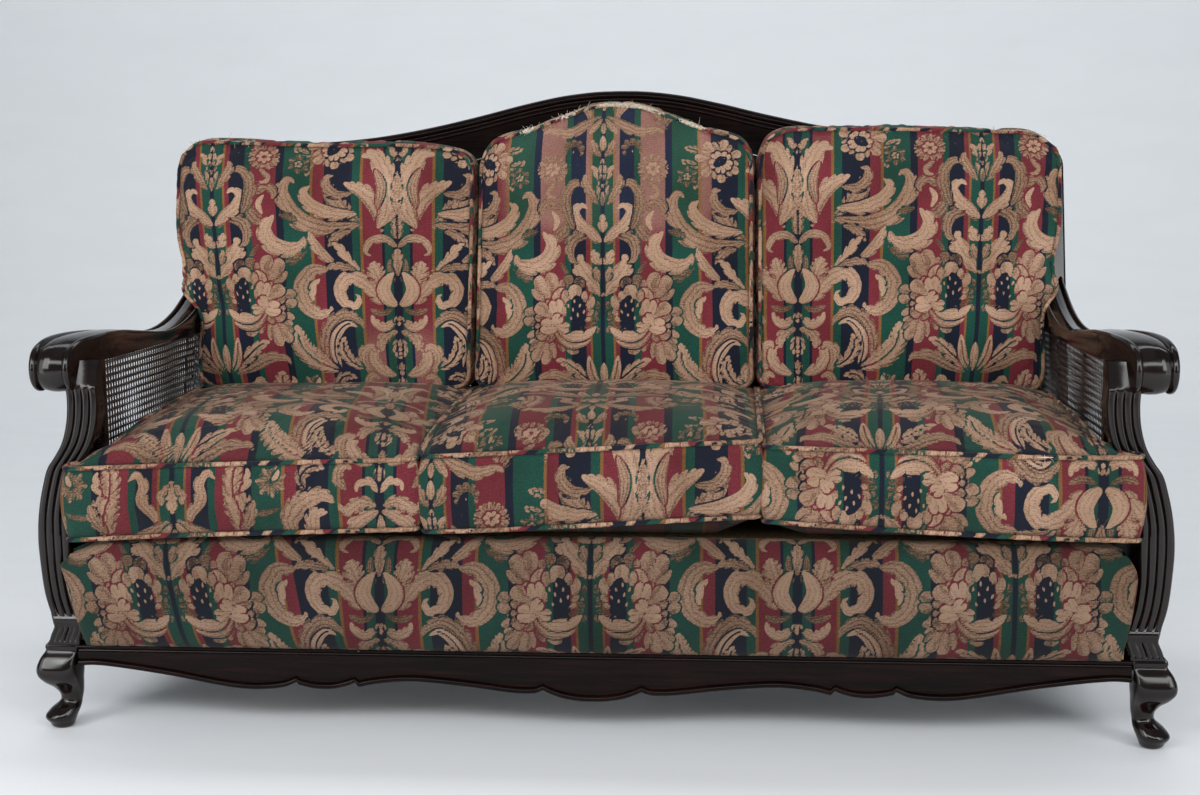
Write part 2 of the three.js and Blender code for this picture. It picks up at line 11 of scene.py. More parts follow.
import bmesh
import bpy
import numpy as np
from bpy.props import FloatProperty, FloatVectorProperty, PointerProperty
from bpy.types import Operator, Panel, PropertyGroup
from mathutils import Matrix, Vector


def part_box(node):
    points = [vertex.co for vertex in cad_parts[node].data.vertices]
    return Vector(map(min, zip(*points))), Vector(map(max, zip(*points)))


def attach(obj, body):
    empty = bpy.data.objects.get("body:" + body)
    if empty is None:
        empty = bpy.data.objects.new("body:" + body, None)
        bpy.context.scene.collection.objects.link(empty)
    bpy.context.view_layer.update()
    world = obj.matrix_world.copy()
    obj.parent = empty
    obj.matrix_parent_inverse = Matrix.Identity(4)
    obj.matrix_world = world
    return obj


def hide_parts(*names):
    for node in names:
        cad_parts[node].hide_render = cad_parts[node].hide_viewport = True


bl_info = {
    "name": "Caned show-frame sofa",
    "version": (1, 0, 0),
    "blender": (4, 5, 0),
    "location": "3D View > Sidebar > Sofa",
    "description": "Builds the finished surfaces of a three-seat caned sofa around its packed frame",
    "category": "Add Mesh",
}

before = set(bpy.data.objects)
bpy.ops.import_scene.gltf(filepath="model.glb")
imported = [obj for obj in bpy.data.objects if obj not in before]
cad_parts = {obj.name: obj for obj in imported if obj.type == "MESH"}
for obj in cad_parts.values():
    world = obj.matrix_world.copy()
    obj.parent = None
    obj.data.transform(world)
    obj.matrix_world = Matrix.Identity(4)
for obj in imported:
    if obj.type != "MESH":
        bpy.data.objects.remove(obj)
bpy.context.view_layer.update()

MM = 0.001
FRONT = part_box("front_apron")[0].y  # the plane that depths are counted from
LOOK = {}  # finished materials by name

# ---- the frame's own sizes, repeated from its construction ----
RAKE = math.radians(14.3)  # lean of the back
RAKE_FROM = 240.0
BACK_AT_SEAT = 546.5  # depth of the back frame's front face at RAKE_FROM
RAIL_TOP = 143.0
SIDE_IN = 803.0  # inner face of the arm frames and back posts
SIDE_OUT = 860.0
ARM_UNDER = 606.0
POST_DEEP = 45.0
CREST_FOOT = 885.3
GAP = 0.3


def back_front(z):
    """Depth of the front face of the raked back frame at height z."""
    return BACK_AT_SEAT + (z - RAKE_FROM) * math.tan(RAKE)


# ---- arrays and meshes ----
def place(points):
    """Millimetres (x, depth, z) as metres in the frame."""
    p = np.asarray(points, float) * MM
    p[..., 1] += FRONT
    return p


def curve(points, count, closed=False):
    """A smooth line through a few points: centripetal steps, cubic Hermite pieces, even samples."""
    p = np.asarray(points, float)
    if closed:
        p = np.vstack([p[-1:], p, p[:2]])
    else:
        p = np.vstack([2 * p[0] - p[1], p, 2 * p[-1] - p[-2]])
    step = np.sqrt(np.linalg.norm(np.diff(p, axis=0), axis=1))
    t = np.concatenate([[0], np.cumsum(step)])
    dense = np.linspace(t[1], t[-2], 40 * len(p))
    k = np.clip(np.searchsorted(t, dense, "right") - 1, 1, len(p) - 3)
    slope = np.zeros_like(p)
    before, after = step[:-1, None], step[1:, None]
    slope[1:-1] = (
        (p[1:-1] - p[:-2]) / before - (p[2:] - p[:-2]) / (before + after) + (p[2:] - p[1:-1]) / after
    )
    h = step[k][:, None]
    s = ((dense - t[k]) / step[k])[:, None]
    line = (
        (2 * s**3 - 3 * s**2 + 1) * p[k]
        + (s**3 - 2 * s**2 + s) * h * slope[k]
        + (3 * s**2 - 2 * s**3) * p[k + 1]
        + (s**3 - s**2) * h * slope[k + 1]
    )
    return evenly(line, count)


def coords(*axes):
    """Coordinates of any matching shapes as the last axis of one array."""
    return np.stack(np.broadcast_arrays(*axes), -1)


def evenly(line, count):
    """The same polyline with its points evenly spaced along it."""
    reach = np.concatenate([[0], np.cumsum(np.linalg.norm(np.diff(line, axis=0), axis=1))])
    at = np.linspace(0, reach[-1], count)
    return coords(*(np.interp(at, reach, values) for values in line.T))


def graph(points, at):
    """The value at each place "at" of the smooth line through a few (place, value) points."""
    line = curve(points, 30 * len(points))
    return np.interp(at, line[:, 0], line[:, 1])


def smoothstep(low, high, value):
    t = np.clip((value - low) / (high - low), 0, 1)
    return t * t * (3 - 2 * t)


def unit(vectors):
    """The same directions, each with length 1."""
    return vectors / np.linalg.norm(vectors, axis=-1, keepdims=True)


def grid_faces(rows, columns, around=False):
    """Quads of a grid of points held row by row. With "around", each row closes on itself."""
    i = np.arange(rows - 1)[:, None]
    j = np.arange(columns if around else columns - 1)[None]
    k = (j + 1) % columns
    a, b = i * columns + j, i * columns + k
    return coords(a, b, b + columns, a + columns).reshape(-1, 4)


def weld(points, faces):
    """Joins points that coincide. Returns the points left, the faces, which points those were, and the new
    number of every old one."""
    key = np.round(points * 2e4 + 0.37).astype(np.int64)
    _, kept, joined = np.unique(key, axis=0, return_index=True, return_inverse=True)
    return points[kept], joined.ravel()[faces], kept, joined.ravel()


def write_mesh(name, points, faces, look, cloth=None, marks=None, smooth=True, sharp=None):
    """An object from points in metres and quads; a quad with two equal corners becomes a triangle. "cloth"
    holds each face corner's place on the fabric in metres, and "marks" named values for each point."""
    points, faces, kept, _ = weld(points, faces)
    same = faces == np.roll(faces, -1, 1)
    flat = np.array([len(set(f)) < 3 for f in faces[same.any(1)].tolist()], bool)
    keep = np.ones(len(faces), bool)
    keep[np.flatnonzero(same.any(1))[flat]] = False
    faces, same = faces[keep], same[keep]
    corners = ~same
    counts = corners.sum(1)
    mesh = bpy.data.meshes.new(name)
    mesh.vertices.add(len(points))
    mesh.vertices.foreach_set("co", points.astype(np.float32).ravel())
    mesh.loops.add(int(counts.sum()))
    mesh.loops.foreach_set("vertex_index", faces[corners].astype(np.int32))
    mesh.polygons.add(len(faces))
    starts = np.concatenate([[0], np.cumsum(counts)[:-1]])
    mesh.polygons.foreach_set("loop_start", starts.astype(np.int32))
    mesh.polygons.foreach_set("use_smooth", np.full(len(faces), smooth))
    mesh.update(calc_edges=True)
    if cloth is not None:
        layer = mesh.uv_layers.new(name="cloth")
        layer.data.foreach_set("uv", cloth[keep][corners].astype(np.float32).ravel())
    for title, values in (marks or {}).items():
        kind = "FLOAT_VECTOR" if values.ndim == 2 else "FLOAT"
        layer = mesh.attributes.new(title, kind, "POINT")
        field = "vector" if values.ndim == 2 else "value"
        layer.data.foreach_set(field, values[kept].astype(np.float32).ravel())
    mesh.materials.append(look)
    mesh.validate()
    piece = bpy.data.objects.new(name, mesh)
    bpy.context.scene.collection.objects.link(piece)
    if sharp is not None:
        mesh.set_sharp_from_angle(angle=math.radians(sharp))
    return piece


class Skin:
    """Collects grids of points in millimetres and makes one welded object of them."""

    def __init__(self):
        self.points, self.faces, self.count = [], [], 0
        self.cloth, self.figure, self.worn = [], [], []

    def add(self, grid, around=False, cloth=None, worn=0.0, plain=False):
        """One grid (rows, columns, 3). On jacquard, "cloth" is each point's place on the fabric; the wear
        value is how faded it is there where above zero, and painted shade that darkens it where below zero; a
        plain grid shows the stripes without the figure."""
        rows, columns = grid.shape[:2]
        faces = grid_faces(rows, columns, around)
        if cloth is not None:
            figure = figure_at(cloth[..., 0], cloth[..., 1]).reshape(-1, 3)
            if plain:
                figure[:, 0] = PLAIN
            self.figure.append(figure)
            self.worn.append(np.broadcast_to(worn, (rows, columns)).ravel())
            self.cloth.append(cloth.reshape(-1, 2)[faces] * MM)
        self.faces.append(faces + self.count)
        self.points.append(grid.reshape(-1, 3))
        self.count += rows * columns
        return self

    def tube(self, rings, cloth=None, worn=0.0):
        """A closed skin over rings (rings, around, 3), with both ends closed to their middles."""
        first, last = (np.broadcast_to(rings[i].mean(0), rings[i].shape)[None] for i in (0, -1))
        if cloth is not None:
            cloth = np.concatenate([cloth[:1], cloth, cloth[-1:]])
        return self.add(np.concatenate([first, rings, last]), True, cloth, worn)

    def mirrored(self):
        """Only the mirror image across x = 0."""
        self.points = [grid * [-1, 1, 1] for grid in self.points]
        self.faces = [faces[:, ::-1] for faces in self.faces]
        return self

    def make(self, name, look, replaces=(), slot="show_wood", sharp=None):
        """The finished piece, closed and with its faces outward."""
        points, faces = place(np.concatenate(self.points)), np.concatenate(self.faces)
        cloth, marks = None, None
        if self.cloth:
            cloth = np.concatenate(self.cloth)
            marks = {"weave": np.concatenate(self.figure), "worn": np.concatenate(self.worn)}
        piece = write_mesh(name, points, faces, LOOK[look], cloth, marks, sharp=sharp)
        outward_faces(piece.data)
        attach(piece, "root")
        if replaces:
            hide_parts(*replaces)
        return piece


def outward_faces(mesh):
    """Turns all faces of a closed mesh outward."""
    work = bmesh.new()
    work.from_mesh(mesh)
    bmesh.ops.recalc_face_normals(work, faces=work.faces)
    work.to_mesh(mesh)
    work.free()


# ---- shader nodes ----
def linear(code):
    """An sRGB hex colour as linear RGBA."""
    channels = [int(code[i : i + 2], 16) / 255 for i in (1, 3, 5)]
    return (*[c / 12.92 if c <= 0.04045 else ((c + 0.055) / 1.055) ** 2.4 for c in channels], 1.0)


def new_look(name):
    look = bpy.data.materials.new(name)
    look.use_nodes = True
    look.node_tree.nodes.clear()
    LOOK[name] = look
    return look


def node(look, kind, inputs=None, **settings):
    """Adds a node: settings are its own properties, inputs its sockets by name or number. A socket's value
    may be another node's output, which links it."""
    made = look.node_tree.nodes.new("ShaderNode" + kind)
    for key, value in settings.items():
        setattr(made, key, value)
    for key, value in (inputs or {}).items():
        socket = made.inputs[key]
        if isinstance(value, bpy.types.NodeSocket):
            look.node_tree.links.new(value, socket)
        else:
            socket.default_value = value
    return made


def ramp(look, value, stops, interpolation="LINEAR"):
    """A colour ramp; each stop is (place, colour as hex, linear RGBA or a grey number)."""
    made = node(look, "ValToRGB", {"Fac": value})
    band = made.color_ramp
    band.interpolation = interpolation
    while len(band.elements) < len(stops):
        band.elements.new(1.0)
    for element, (at, colour) in zip(band.elements, stops):
        element.position = at
        if isinstance(colour, str):
            colour = linear(colour)
        element.color = (colour, colour, colour, 1) if isinstance(colour, (int, float)) else colour
    return made.outputs["Color"]


def sums(look, operation, *values, clamp=False):
    """A Math node's result."""
    made = node(look, "Math", dict(enumerate(values)), operation=operation, use_clamp=clamp)
    return made.outputs["Value"]


def mixed(look, share, first, second, blend="MIX"):
    """Colour first turned to second by share."""
    made = node(look, "Mix", {0: share, 6: first, 7: second}, data_type="RGBA", blend_type=blend)
    return made.outputs[2]


def stretched(look, source, scale):
    """Coordinates from a Mapping node: scale is in pattern cells per metre along each axis."""
    return node(look, "Mapping", {"Vector": source, "Scale": scale}).outputs["Vector"]


def noise(look, where, scale, detail=3.0, rough=0.5):
    """Noise value 0 to 1; where is a vector, scale in cells per metre."""
    inputs = {"Vector": where, "Scale": scale, "Detail": detail, "Roughness": rough}
    return node(look, "TexNoise", inputs).outputs["Fac"]


def steps(look, value, low, high, to_low=0.0, to_high=1.0):
    """A value mapped from low..high to to_low..to_high, held outside."""
    inputs = {"Value": value, "From Min": low, "From Max": high, "To Min": to_low, "To Max": to_high}
    return node(look, "MapRange", inputs, clamp=True).outputs["Result"]


def finish_look(look, bump=None, bump_height=0.0, **sockets):
    """The Principled shader and output; names with _ for spaces. Bump height is in metres."""
    inputs = {key.replace("_", " "): value for key, value in sockets.items()}
    if bump is not None:
        made = node(look, "Bump", {"Height": bump, "Distance": bump_height, "Strength": 1.0})
        inputs["Normal"] = made.outputs["Normal"]
    shader = node(look, "BsdfPrincipled", inputs)
    node(look, "OutputMaterial", {"Surface": shader.outputs["BSDF"]})


# ---- the jacquard's figure ----
# One half repeat of the cloth, in millimetres: u runs from axis A (the peonies) to axis B (the lotus), and
# the whole repeat is mirrored at both; v runs up the cloth. The figure is the tan weft that floats over
# coloured warp stripes, so its outlines and veins are gaps through which the stripes show.
HALF_REPEAT = 331.0
REPEAT_TALL = 620.0
REPEAT_FOOT = -150.0
LATTICE = 1.25  # spacing of the samples of the figure
PLAIN = -20.0  # a distance outside the figure that leaves the cloth without it
NO_VEIN = 50.0  # a distance from the nearest vein that leaves a leaf without one
STRIPES = [
    # distance from axis A where each warp stripe starts, and its colour
    (0, "navy"), (3, "green"), (18.5, "gold"), (22, "wine"), (30, "navy"), (58, "green"), (69, "wine"),
    (115, "navy"), (128, "green"), (175, "gold"), (181, "wine"), (200, "navy"), (250, "green"), (265, "gold"),
    (269.5, "wine"), (303, "navy"), (309, "green"), (323, "navy"),
]  # fmt: skip


def leaf(spine, wide, plump=1.0, lobes=0, lean=0.6, tone=0.6, sides=0, rib=False, cut=False):
    """A leaf: a spine from base to tip and its half width. "plump" moves its widest place towards the tip
    when above 1. Lobes scallop its edge on one side of the spine (1 left, -1 right, 0 both) and lean to the
    tip. A high tone is woven pale, a rib is a vein along the spine, and a cut leaf is taken out of those
    before it."""
    return {
        "spine": spine, "wide": wide, "plump": plump, "lobes": lobes, "lean": lean, "tone": tone,
        "sides": sides, "rib": rib, "cut": cut,
    }  # fmt: skip


def petal(base, tip, spread, lobes=3, tone=0.6):
    """A broad petal: a fan from its base, with a half angle in degrees and round lobes along its rim."""
    middle = ((base[0] + tip[0]) / 2, (base[1] + tip[1]) / 2)
    reach = math.dist(base, tip)
    return {**leaf([base, middle, tip], reach, tone=tone), "fan": math.radians(spread), "lobes": lobes}


def flower(middle, petals, long, wide, start=0.0, inner=4.0, tone=0.6, lobes=2):
    """Petals round a middle, each as wide as given at its rim."""
    turn = start + 2 * np.pi * np.arange(petals) / petals
    spread = 1.5 * math.degrees(math.atan2(wide, 0.62 * long))
    out = coords(np.cos(turn), np.sin(turn))
    bases, tips = middle + 0.4 * inner * out, middle + long * out
    return [petal(base, tip, spread, max(lobes, 1), tone) for base, tip in zip(bases, tips)]


STAMENS = [(36, 2, -3), (43, 14, -2), (46, -4, 0), (52, 22, 1), (54, 6, 2), (62, 14, 3), (58, -10, 1)]


# The large flower beside axis A, from its back petals to its front ones, then its dark heart.
PEONY = [
    petal((66, 20), (50, 78), 60, 4, 0.05),
    petal((34, 6), (5, 26), 62, 3, 0.05),
    petal((34, -4), (5, 0), 58, 2, 0.1),
    petal((34, -20), (5, -30), 62, 3, 0.05),
    petal((88, 12), (110, 82), 52, 4, 0.5),
    petal((96, -4), (148, 0), 58, 4, 0.4),
    petal((94, -30), (142, -46), 34, 2, 0.55),
    petal((98, -32), (120, -92), 48, 4, 0.55),
    petal((86, -12), (122, -42), 60, 3, 0.35),
    petal((84, -14), (38, -68), 50, 4, 0.4),
    petal((82, -8), (60, 54), 46, 2, 0.7),
    petal((60, 0), (16, 14), 58, 3, 0.55),
    petal((56, 2), (22, 46), 48, 2, 0.6),
    petal((54, 2), (50, 60), 50, 3, 0.65),
    leaf([(62, -26), (48, -8), (43, 12), (50, 38)], 15, 0.9, 9, cut=True),
    leaf([(62, -10), (57, 8), (60, 30)], 9, 1.0, 6, cut=True),
    *[
        leaf([(u, v), (u + lean / 2, v + 6), (u + lean, v + 12)], 3.6, 0.8, tone=1.0)
        for u, v, lean in STAMENS
    ],
    leaf([(90, -24), (62, -50), (34, -48), (20, -38)], 13, 1.0, 3, 0.3, 0.6, -1),
    leaf([(88, -16), (58, -38), (28, -34), (12, -20)], 12, 1.0, 3, 0.3, 0.8, -1),
    petal((76, -12), (124, 22), 50, 3, 0.5),
    petal((78, -22), (118, -18), 46, 2, 0.9),
    petal((80, -8), (88, 34), 40, 2, 0.95),
    petal((88, -18), (58, -24), 44, 2, 0.8),
    petal((94, -16), (74, 2), 50, 2, 1.0),
]


# What climbs axis A above the peonies, and the spray below them.
AXIS_A = [
    # spray that opens upward under the peonies
    leaf([(10, -146), (50, -128), (88, -112), (118, -118), (122, -130)], 15, 0.8, 5, 0.8, 0.45, 1),
    leaf([(6, -146), (38, -116), (66, -92), (92, -80)], 14, 1.1, 5, 0.9, 0.65, rib=True),
    leaf([(3, -148), (20, -118), (28, -74)], 10, 1.1, tone=0.7, rib=True),
    leaf([(0, -148), (0, -118), (0, -88)], 9, 1.3),
    # bud hanging under the spray, on the wide wine stripe
    leaf([(100, -196), (98, -172), (103, -140)], 20, 0.9, 4, 0.5, 0.7, rib=True),
    leaf([(112, -190), (122, -172), (120, -150)], 9, 1.0, 2, 0.4, 0.85),
    # tulip above the peonies
    leaf([(0, 34), (14, 56), (34, 78), (44, 104), (36, 116)], 21, 1.0, 5, 0.7, 0.75, -1),
    leaf([(0, 60), (10, 76), (13, 94)], 9, 1.2, 2, 0.5, 0.5),
    leaf([(0, 44), (0, 58), (0, 74)], 4.5, cut=True),
    # drooping wings
    leaf([(6, 134), (26, 156), (52, 148), (62, 126), (54, 102), (44, 100)], 14, 0.8, 6, 0.5, 0.35, 1),
    leaf([(0, 96), (12, 108), (18, 126)], 12, 1.0, 2, 0.4, 0.75),
    # rising scrolls
    leaf([(2, 138), (22, 158), (44, 176), (52, 198), (38, 210), (26, 200)], 13, 0.8, 5, 0.6, 0.8, -1),
    leaf([(54, 162), (68, 196), (68, 232), (50, 252), (32, 244), (30, 234)], 13, 0.8, 5, 0.6, 0.4, -1),
    leaf([(0, 156), (0, 172), (0, 194)], 11, 0.8, 2, 0.4, 0.7),
    # palmette
    leaf([(4, 206), (20, 228), (34, 258), (28, 270)], 11, 1.1, 4, 0.6, 0.45, -1),
    leaf([(0, 204), (4, 232), (12, 252)], 8, tone=0.5),
    leaf([(0, 236), (6, 262), (22, 286)], 10, 1.2, 3, 0.5, 0.6, -1),
    leaf([(0, 250), (0, 274), (0, 300)], 9, 1.1, 3, 0.4, 0.7, rib=True),
    leaf([(3, 300), (16, 318), (20, 338)], 11, 1.1, 2, 0.5, 0.5),
    leaf([(0, 312), (0, 326), (0, 346)], 8, 0.9, tone=0.75),
    # daisy in the navy stripe
    *flower((55, 318), 9, 23, 7.5, 0.2, 8, 0.2, 0),
    leaf([(55, 296), (55, 310), (55, 322)], 12, 1.0, 7, 0.1, cut=True),
    leaf([(50, 300), (51, 303), (52, 306)], 2.4, tone=0.9),
    leaf([(58, 300), (59, 303), (60, 306)], 2.4, tone=0.9),
    leaf([(55, 308), (55, 312), (55, 316)], 3.0, tone=0.9),
    leaf([(46, 282), (47, 286), (48, 290)], 2.4, tone=0.9),
    leaf([(62, 282), (61, 286), (60, 290)], 2.4, tone=0.9),
    # hanging bud between two hooked leaves
    leaf([(0, 452), (0, 428), (0, 396)], 14, 0.9, 3, 0.4, 0.75),
    leaf([(4, 446), (16, 430), (16, 410)], 9, 1.0, 2, 0.4),
    leaf([(22, 372), (30, 398), (46, 420), (44, 446), (58, 462), (72, 450)], 12, 0.9, 5, 0.6, 0.65, 1),
    # spray that opens downward
    leaf([(4, 386), (34, 366), (70, 352), (104, 358), (116, 350)], 14, 0.8, 5, 0.8, 0.55, -1),
    leaf([(2, 382), (22, 354), (26, 346)], 8),
    leaf([(0, 372), (0, 360), (0, 346)], 7),
]


# The leaves on and beside the wide wine stripe, between axis A and the wide green stripe.
WINE_STRIPE = [
    # diagonal stems
    leaf([(84, 106), (70, 88), (56, 62)], 6, tone=0.15),
    leaf([(176, 404), (150, 396), (118, 398)], 7, tone=0.15),
    # comma
    leaf([(98, 138), (70, 160), (68, 198), (92, 216), (113, 204), (108, 188)], 18, 0.75, 4, 0.4, 0.35, -1),
    leaf([(92, 158), (84, 180), (96, 200)], 7, tone=0.85),
    # leaf scroll and its fringe
    leaf([(170, 92), (140, 74), (108, 84), (92, 104)], 14, 1.0, 7, 0.4, 0.2, 1),
    leaf([(164, 118), (158, 100), (130, 92), (100, 106), (92, 134), (112, 160)], 19, 1.0, 5, 0.6, 0.75, 1),
    leaf([(118, 160), (134, 156), (152, 148)], 9, 1.0, 3, 0.5, 0.1),
    # hanging aster and its curl
    *flower((93, 278), 11, 32, 9, 0.1, 9, 0.5, 2),
    *flower((93, 278), 7, 15, 5, 0.3, 4, 0.9, 0),
    leaf([(84, 252), (100, 238), (96, 224), (84, 226)], 8, 0.8, 2, 0.4),
    # rosette in the green stripe
    *flower((155, 262), 6, 22, 9, 0.5, 5, 0.2, 3),
    *flower((155, 262), 5, 9, 3.5, 0.2, 1, 0.8, 0),
    # ivy leaf
    leaf([(106, 352), (112, 384), (100, 424), (84, 440)], 26, 1.1, 5, 0.8, rib=True),
    leaf([(108, 366), (124, 388), (132, 418)], 13, 1.1, 3, 0.6, 0.45),
    # hop flower
    *flower((160, 446), 7, 27, 9, 0.4, 6, 0.35, 3),
    leaf([(160, 446), (168, 456), (172, 466)], 6, tone=0.9),
]


# The acanthus between the wide green stripe and the navy one.
GREEN_STRIPE = [
    # rose with leaves trailing towards axis A
    leaf([(190, 292), (166, 284), (144, 296)], 12, 1.1, 4, 0.6, 0.5, rib=True),
    leaf([(190, 280), (172, 258), (170, 236)], 12, 1.1, 4, 0.6, 0.55, rib=True),
    leaf([(192, 304), (172, 316), (150, 322)], 11, 1.1, 4, 0.6, 0.5, rib=True),
    *flower((214, 296), 7, 46, 18, 0.35, 10, 0.6, 3),
    *flower((218, 292), 5, 25, 12, 0.9, 6, 0.85, 2),
    leaf([(206, 284), (216, 292), (228, 300)], 9, 1.0, 6, 0.3, cut=True),
    leaf([(214, 290), (216, 292), (218, 294)], 3.0, tone=1.0),
    leaf([(222, 297), (224, 299), (226, 301)], 2.6, tone=1.0),
    # lower claw and upper claw
    leaf([(266, 140), (214, 130), (164, 142), (134, 176), (126, 214), (142, 232), (150, 220)],
         20, 0.95, 8, 0.9, 0.55, 1),
    leaf([(262, 160), (214, 160), (176, 178), (164, 204), (178, 218)], 16, 1.0, 6, 0.9, 0.8, 1),
    leaf([(252, 200), (222, 198), (204, 216), (206, 236), (220, 238)], 12, 0.9, 5, 0.7, 0.5, 1),
    leaf([(250, 128), (224, 118), (206, 96)], 11, 1.0, 4, 0.7, 0.5),
    # sprigs in the navy stripe
    leaf([(266, 50), (240, 74), (226, 96), (212, 106)], 12, 1.2, 4, 0.7, 0.8),
    leaf([(226, 58), (196, 82), (180, 104), (172, 128)], 12, 1.1, 4, 0.7, 0.65, 1),
    leaf([(256, 52), (226, 60), (196, 56)], 10, 1.0, 4, 0.7, 0.45),
    # curved leaf over the green stripe
    leaf([(206, 54), (176, 50), (158, 22), (162, -10), (184, -30), (206, -26), (208, -14)],
         19, 0.85, 6, 0.7, 0.6, 1),
    leaf([(190, 38), (176, 18), (176, -8)], 9, 1.0, 2, 0.4, 0.95),
    # open C scroll
    leaf([(200, -140), (190, -100), (202, -56), (232, -32), (260, -44), (268, -62)],
         16, 0.85, 8, 0.8, 0.35, 1),
    leaf([(216, -138), (208, -104), (216, -70), (238, -50), (258, -58)], 11, 0.8, tone=0.85, rib=True),
    leaf([(262, -136), (240, -124), (226, -100), (230, -72)], 14, 0.9, 6, 0.8, 0.75, rib=True),
    # fern
    leaf([(216, -142), (178, -126), (148, -94), (142, -50)], 24, 1.1, 9, 1.0, 0.7, rib=True),
    # leaf between the rows
    leaf([(196, 352), (186, 380), (206, 412), (240, 424), (262, 410)], 20, 0.9, 8, 0.8, 0.6, 1),
    leaf([(236, 346), (222, 366), (226, 392), (250, 396)], 14, 0.9, 5, 0.7, 0.8, 1),
    leaf([(216, 430), (206, 450), (222, 468), (246, 464)], 13, 1.0, 5, 0.7, 0.5, rib=True),
]


# What climbs axis B: pendants, the lotus with its sprays, a collar, and a pair of feathered scrolls. Its
# places are drawn from axis B and counted again from axis A.
AXIS_B = [
    leaf([(10, -150), (34, -140), (50, -118), (42, -98), (30, -102)], 14, 0.8, 4, 0.6, 0.75, -1),
    leaf([(56, -146), (72, -122), (66, -98), (50, -94), (46, -104)], 12, 0.9, 4, sides=1),
    leaf([(0, -122), (2, -136), (0, -154)], 9, 0.9, 2, 0.4),
    leaf([(2, -64), (22, -70), (34, -88), (30, -102)], 14, 1.0, 4),
    leaf([(0, -74), (6, -96), (0, -120)], 11, 1.0, 4, 0.6, 0.75, rib=True),
    leaf([(4, -40), (26, -56), (44, -46), (50, -32)], 11, 1.0, 4, 0.6, 0.75, -1),
    leaf([(0, -32), (3, -42), (0, -56)], 8, 1.0, 2, 0.4, 0.8),
    leaf([(6, -20), (30, -30), (54, -22)], 8, 1.2, tone=0.15),
    # sprays with spiral ends
    leaf([(26, 10), (54, 34), (78, 52), (104, 54)], 12, 1.0, 4, 0.8, 0.45, 1),
    leaf([(4, -16), (34, -2), (62, 28), (88, 38), (104, 18), (98, -8), (80, -16), (70, -2), (80, 8)],
         17, 0.75, 9, 0.6, 0.75, 1),
    # plumes and crown
    leaf([(20, 18), (36, 40), (44, 70)], 19, 1.4, 5, 0.5, 0.65),
    leaf([(0, 26), (0, 60), (0, 96)], 15, 1.0, 5, 0.7),
    leaf([(0, 24), (14, 50), (14, 76)], 7, tone=0.2),
    # two drops of the lotus
    leaf([(2, -16), (18, -4), (26, 14), (16, 38), (6, 48)], 14, 0.8, tone=0.95),
    leaf([(0, -8), (1, 14), (0, 40)], 5, 0.9, 4, 0.9, cut=True),
    # collar and bud
    leaf([(0, 96), (26, 112), (50, 104), (56, 86), (44, 78)], 10, 0.75, 3, 0.5, 0.6, 1),
    leaf([(0, 110), (0, 136), (0, 168)], 14, 0.8, 4, 0.7, 0.55, rib=True),
    # feathered scrolls
    leaf([(60, 132), (88, 158), (114, 196), (128, 236)], 20, 0.9, 8, 0.9, 0.5, -1),
    leaf([(26, 124), (30, 166), (52, 200), (96, 224)], 20, 0.9, 7, 0.9, 0.65, -1),
    leaf([(34, 130), (14, 172), (20, 236), (44, 282), (66, 276)], 25, 1.0, 9, 0.9, 0.75, -1),
    leaf([(34, 168), (28, 214), (40, 252)], 10, tone=0.5),
    leaf([(0, 262), (8, 284), (20, 300)], 9, 1.0, 2, 0.4),
    # medallion between the rows
    leaf([(2, 332), (14, 352), (34, 352), (38, 338)], 11, 0.9, 3, 0.5, 0.6, 1),
    leaf([(2, 396), (26, 386), (46, 366), (40, 346), (26, 352)], 14, 0.8, 4, 0.5, 0.75, -1),
    leaf([(4, 404), (30, 410), (54, 396), (66, 410)], 14, 0.9, 5, 0.6, 0.65),
    leaf([(0, 424), (20, 444), (34, 436), (36, 424)], 9, 0.9, 2, 0.4, 0.8),
    leaf([(0, 392), (1, 372), (0, 352)], 9, 1.4, tone=0.85),
    leaf([(50, 430), (66, 448), (58, 468), (42, 462)], 11, 0.9, 4, 0.5, 0.5, -1),
    leaf([(0, 440), (3, 456), (0, 468)], 8),
]
AXIS_B = [{**drawn, "spine": [(HALF_REPEAT - u, v) for u, v in drawn["spine"]]} for drawn in AXIS_B]


def leaf_reach(points, line, drawn):
    """How far each point lies inside a leaf (negative outside) and from a vein, its place across the leaf (-1
    to 1) and its place from base to tip. The half width swells and closes as a sine along the spine. Each
    lobe is one half wave that leans towards the tip, with a vein between it and the next one."""
    run = line[1:] - line[:-1]
    long = np.hypot(run[:, 0], run[:, 1])
    reach = np.concatenate([[0], np.cumsum(long)])
    from_start = points[:, None] - line[None, :-1]
    t = np.clip((from_start * run).sum(2) / long**2, 0, 1)
    away = from_start - t[..., None] * run
    distance = np.hypot(away[..., 0], away[..., 1])
    k = distance.argmin(1)
    row = np.arange(len(points))
    distance = distance[row, k]
    along = (reach[k] + t[row, k] * long[k]) / reach[-1]
    side = np.sign(run[k, 0] * from_start[row, k, 1] - run[k, 1] * from_start[row, k, 0])
    wide = drawn["wide"] * np.sin(np.pi * along ** drawn["plump"]) ** 0.55
    vein = np.full(len(points), NO_VEIN)
    if drawn["lobes"]:
        chosen = np.ones(len(points), bool) if drawn["sides"] == 0 else side == drawn["sides"]
        phase = drawn["lobes"] * (along - 1.9 * drawn["lean"] * distance / reach[-1]) + 0.5 * (side > 0)
        wave = np.abs(np.sin(np.pi * phase))
        wide = wide * np.where(chosen, 1 - 0.44 * (1 - wave) ** 2, 1)
        spacing = reach[-1] / (np.pi * drawn["lobes"])
        outer = distance > 0.12 * wide
        vein = np.where(chosen & outer, wave * spacing + 1.2 * (1 - distance / np.maximum(wide, 1)), vein)
    if drawn["rib"]:
        vein = np.minimum(vein, np.where(along < 0.86, distance, NO_VEIN))
    across = side * distance / np.maximum(wide, 0.5)
    return wide - distance, vein, across, along


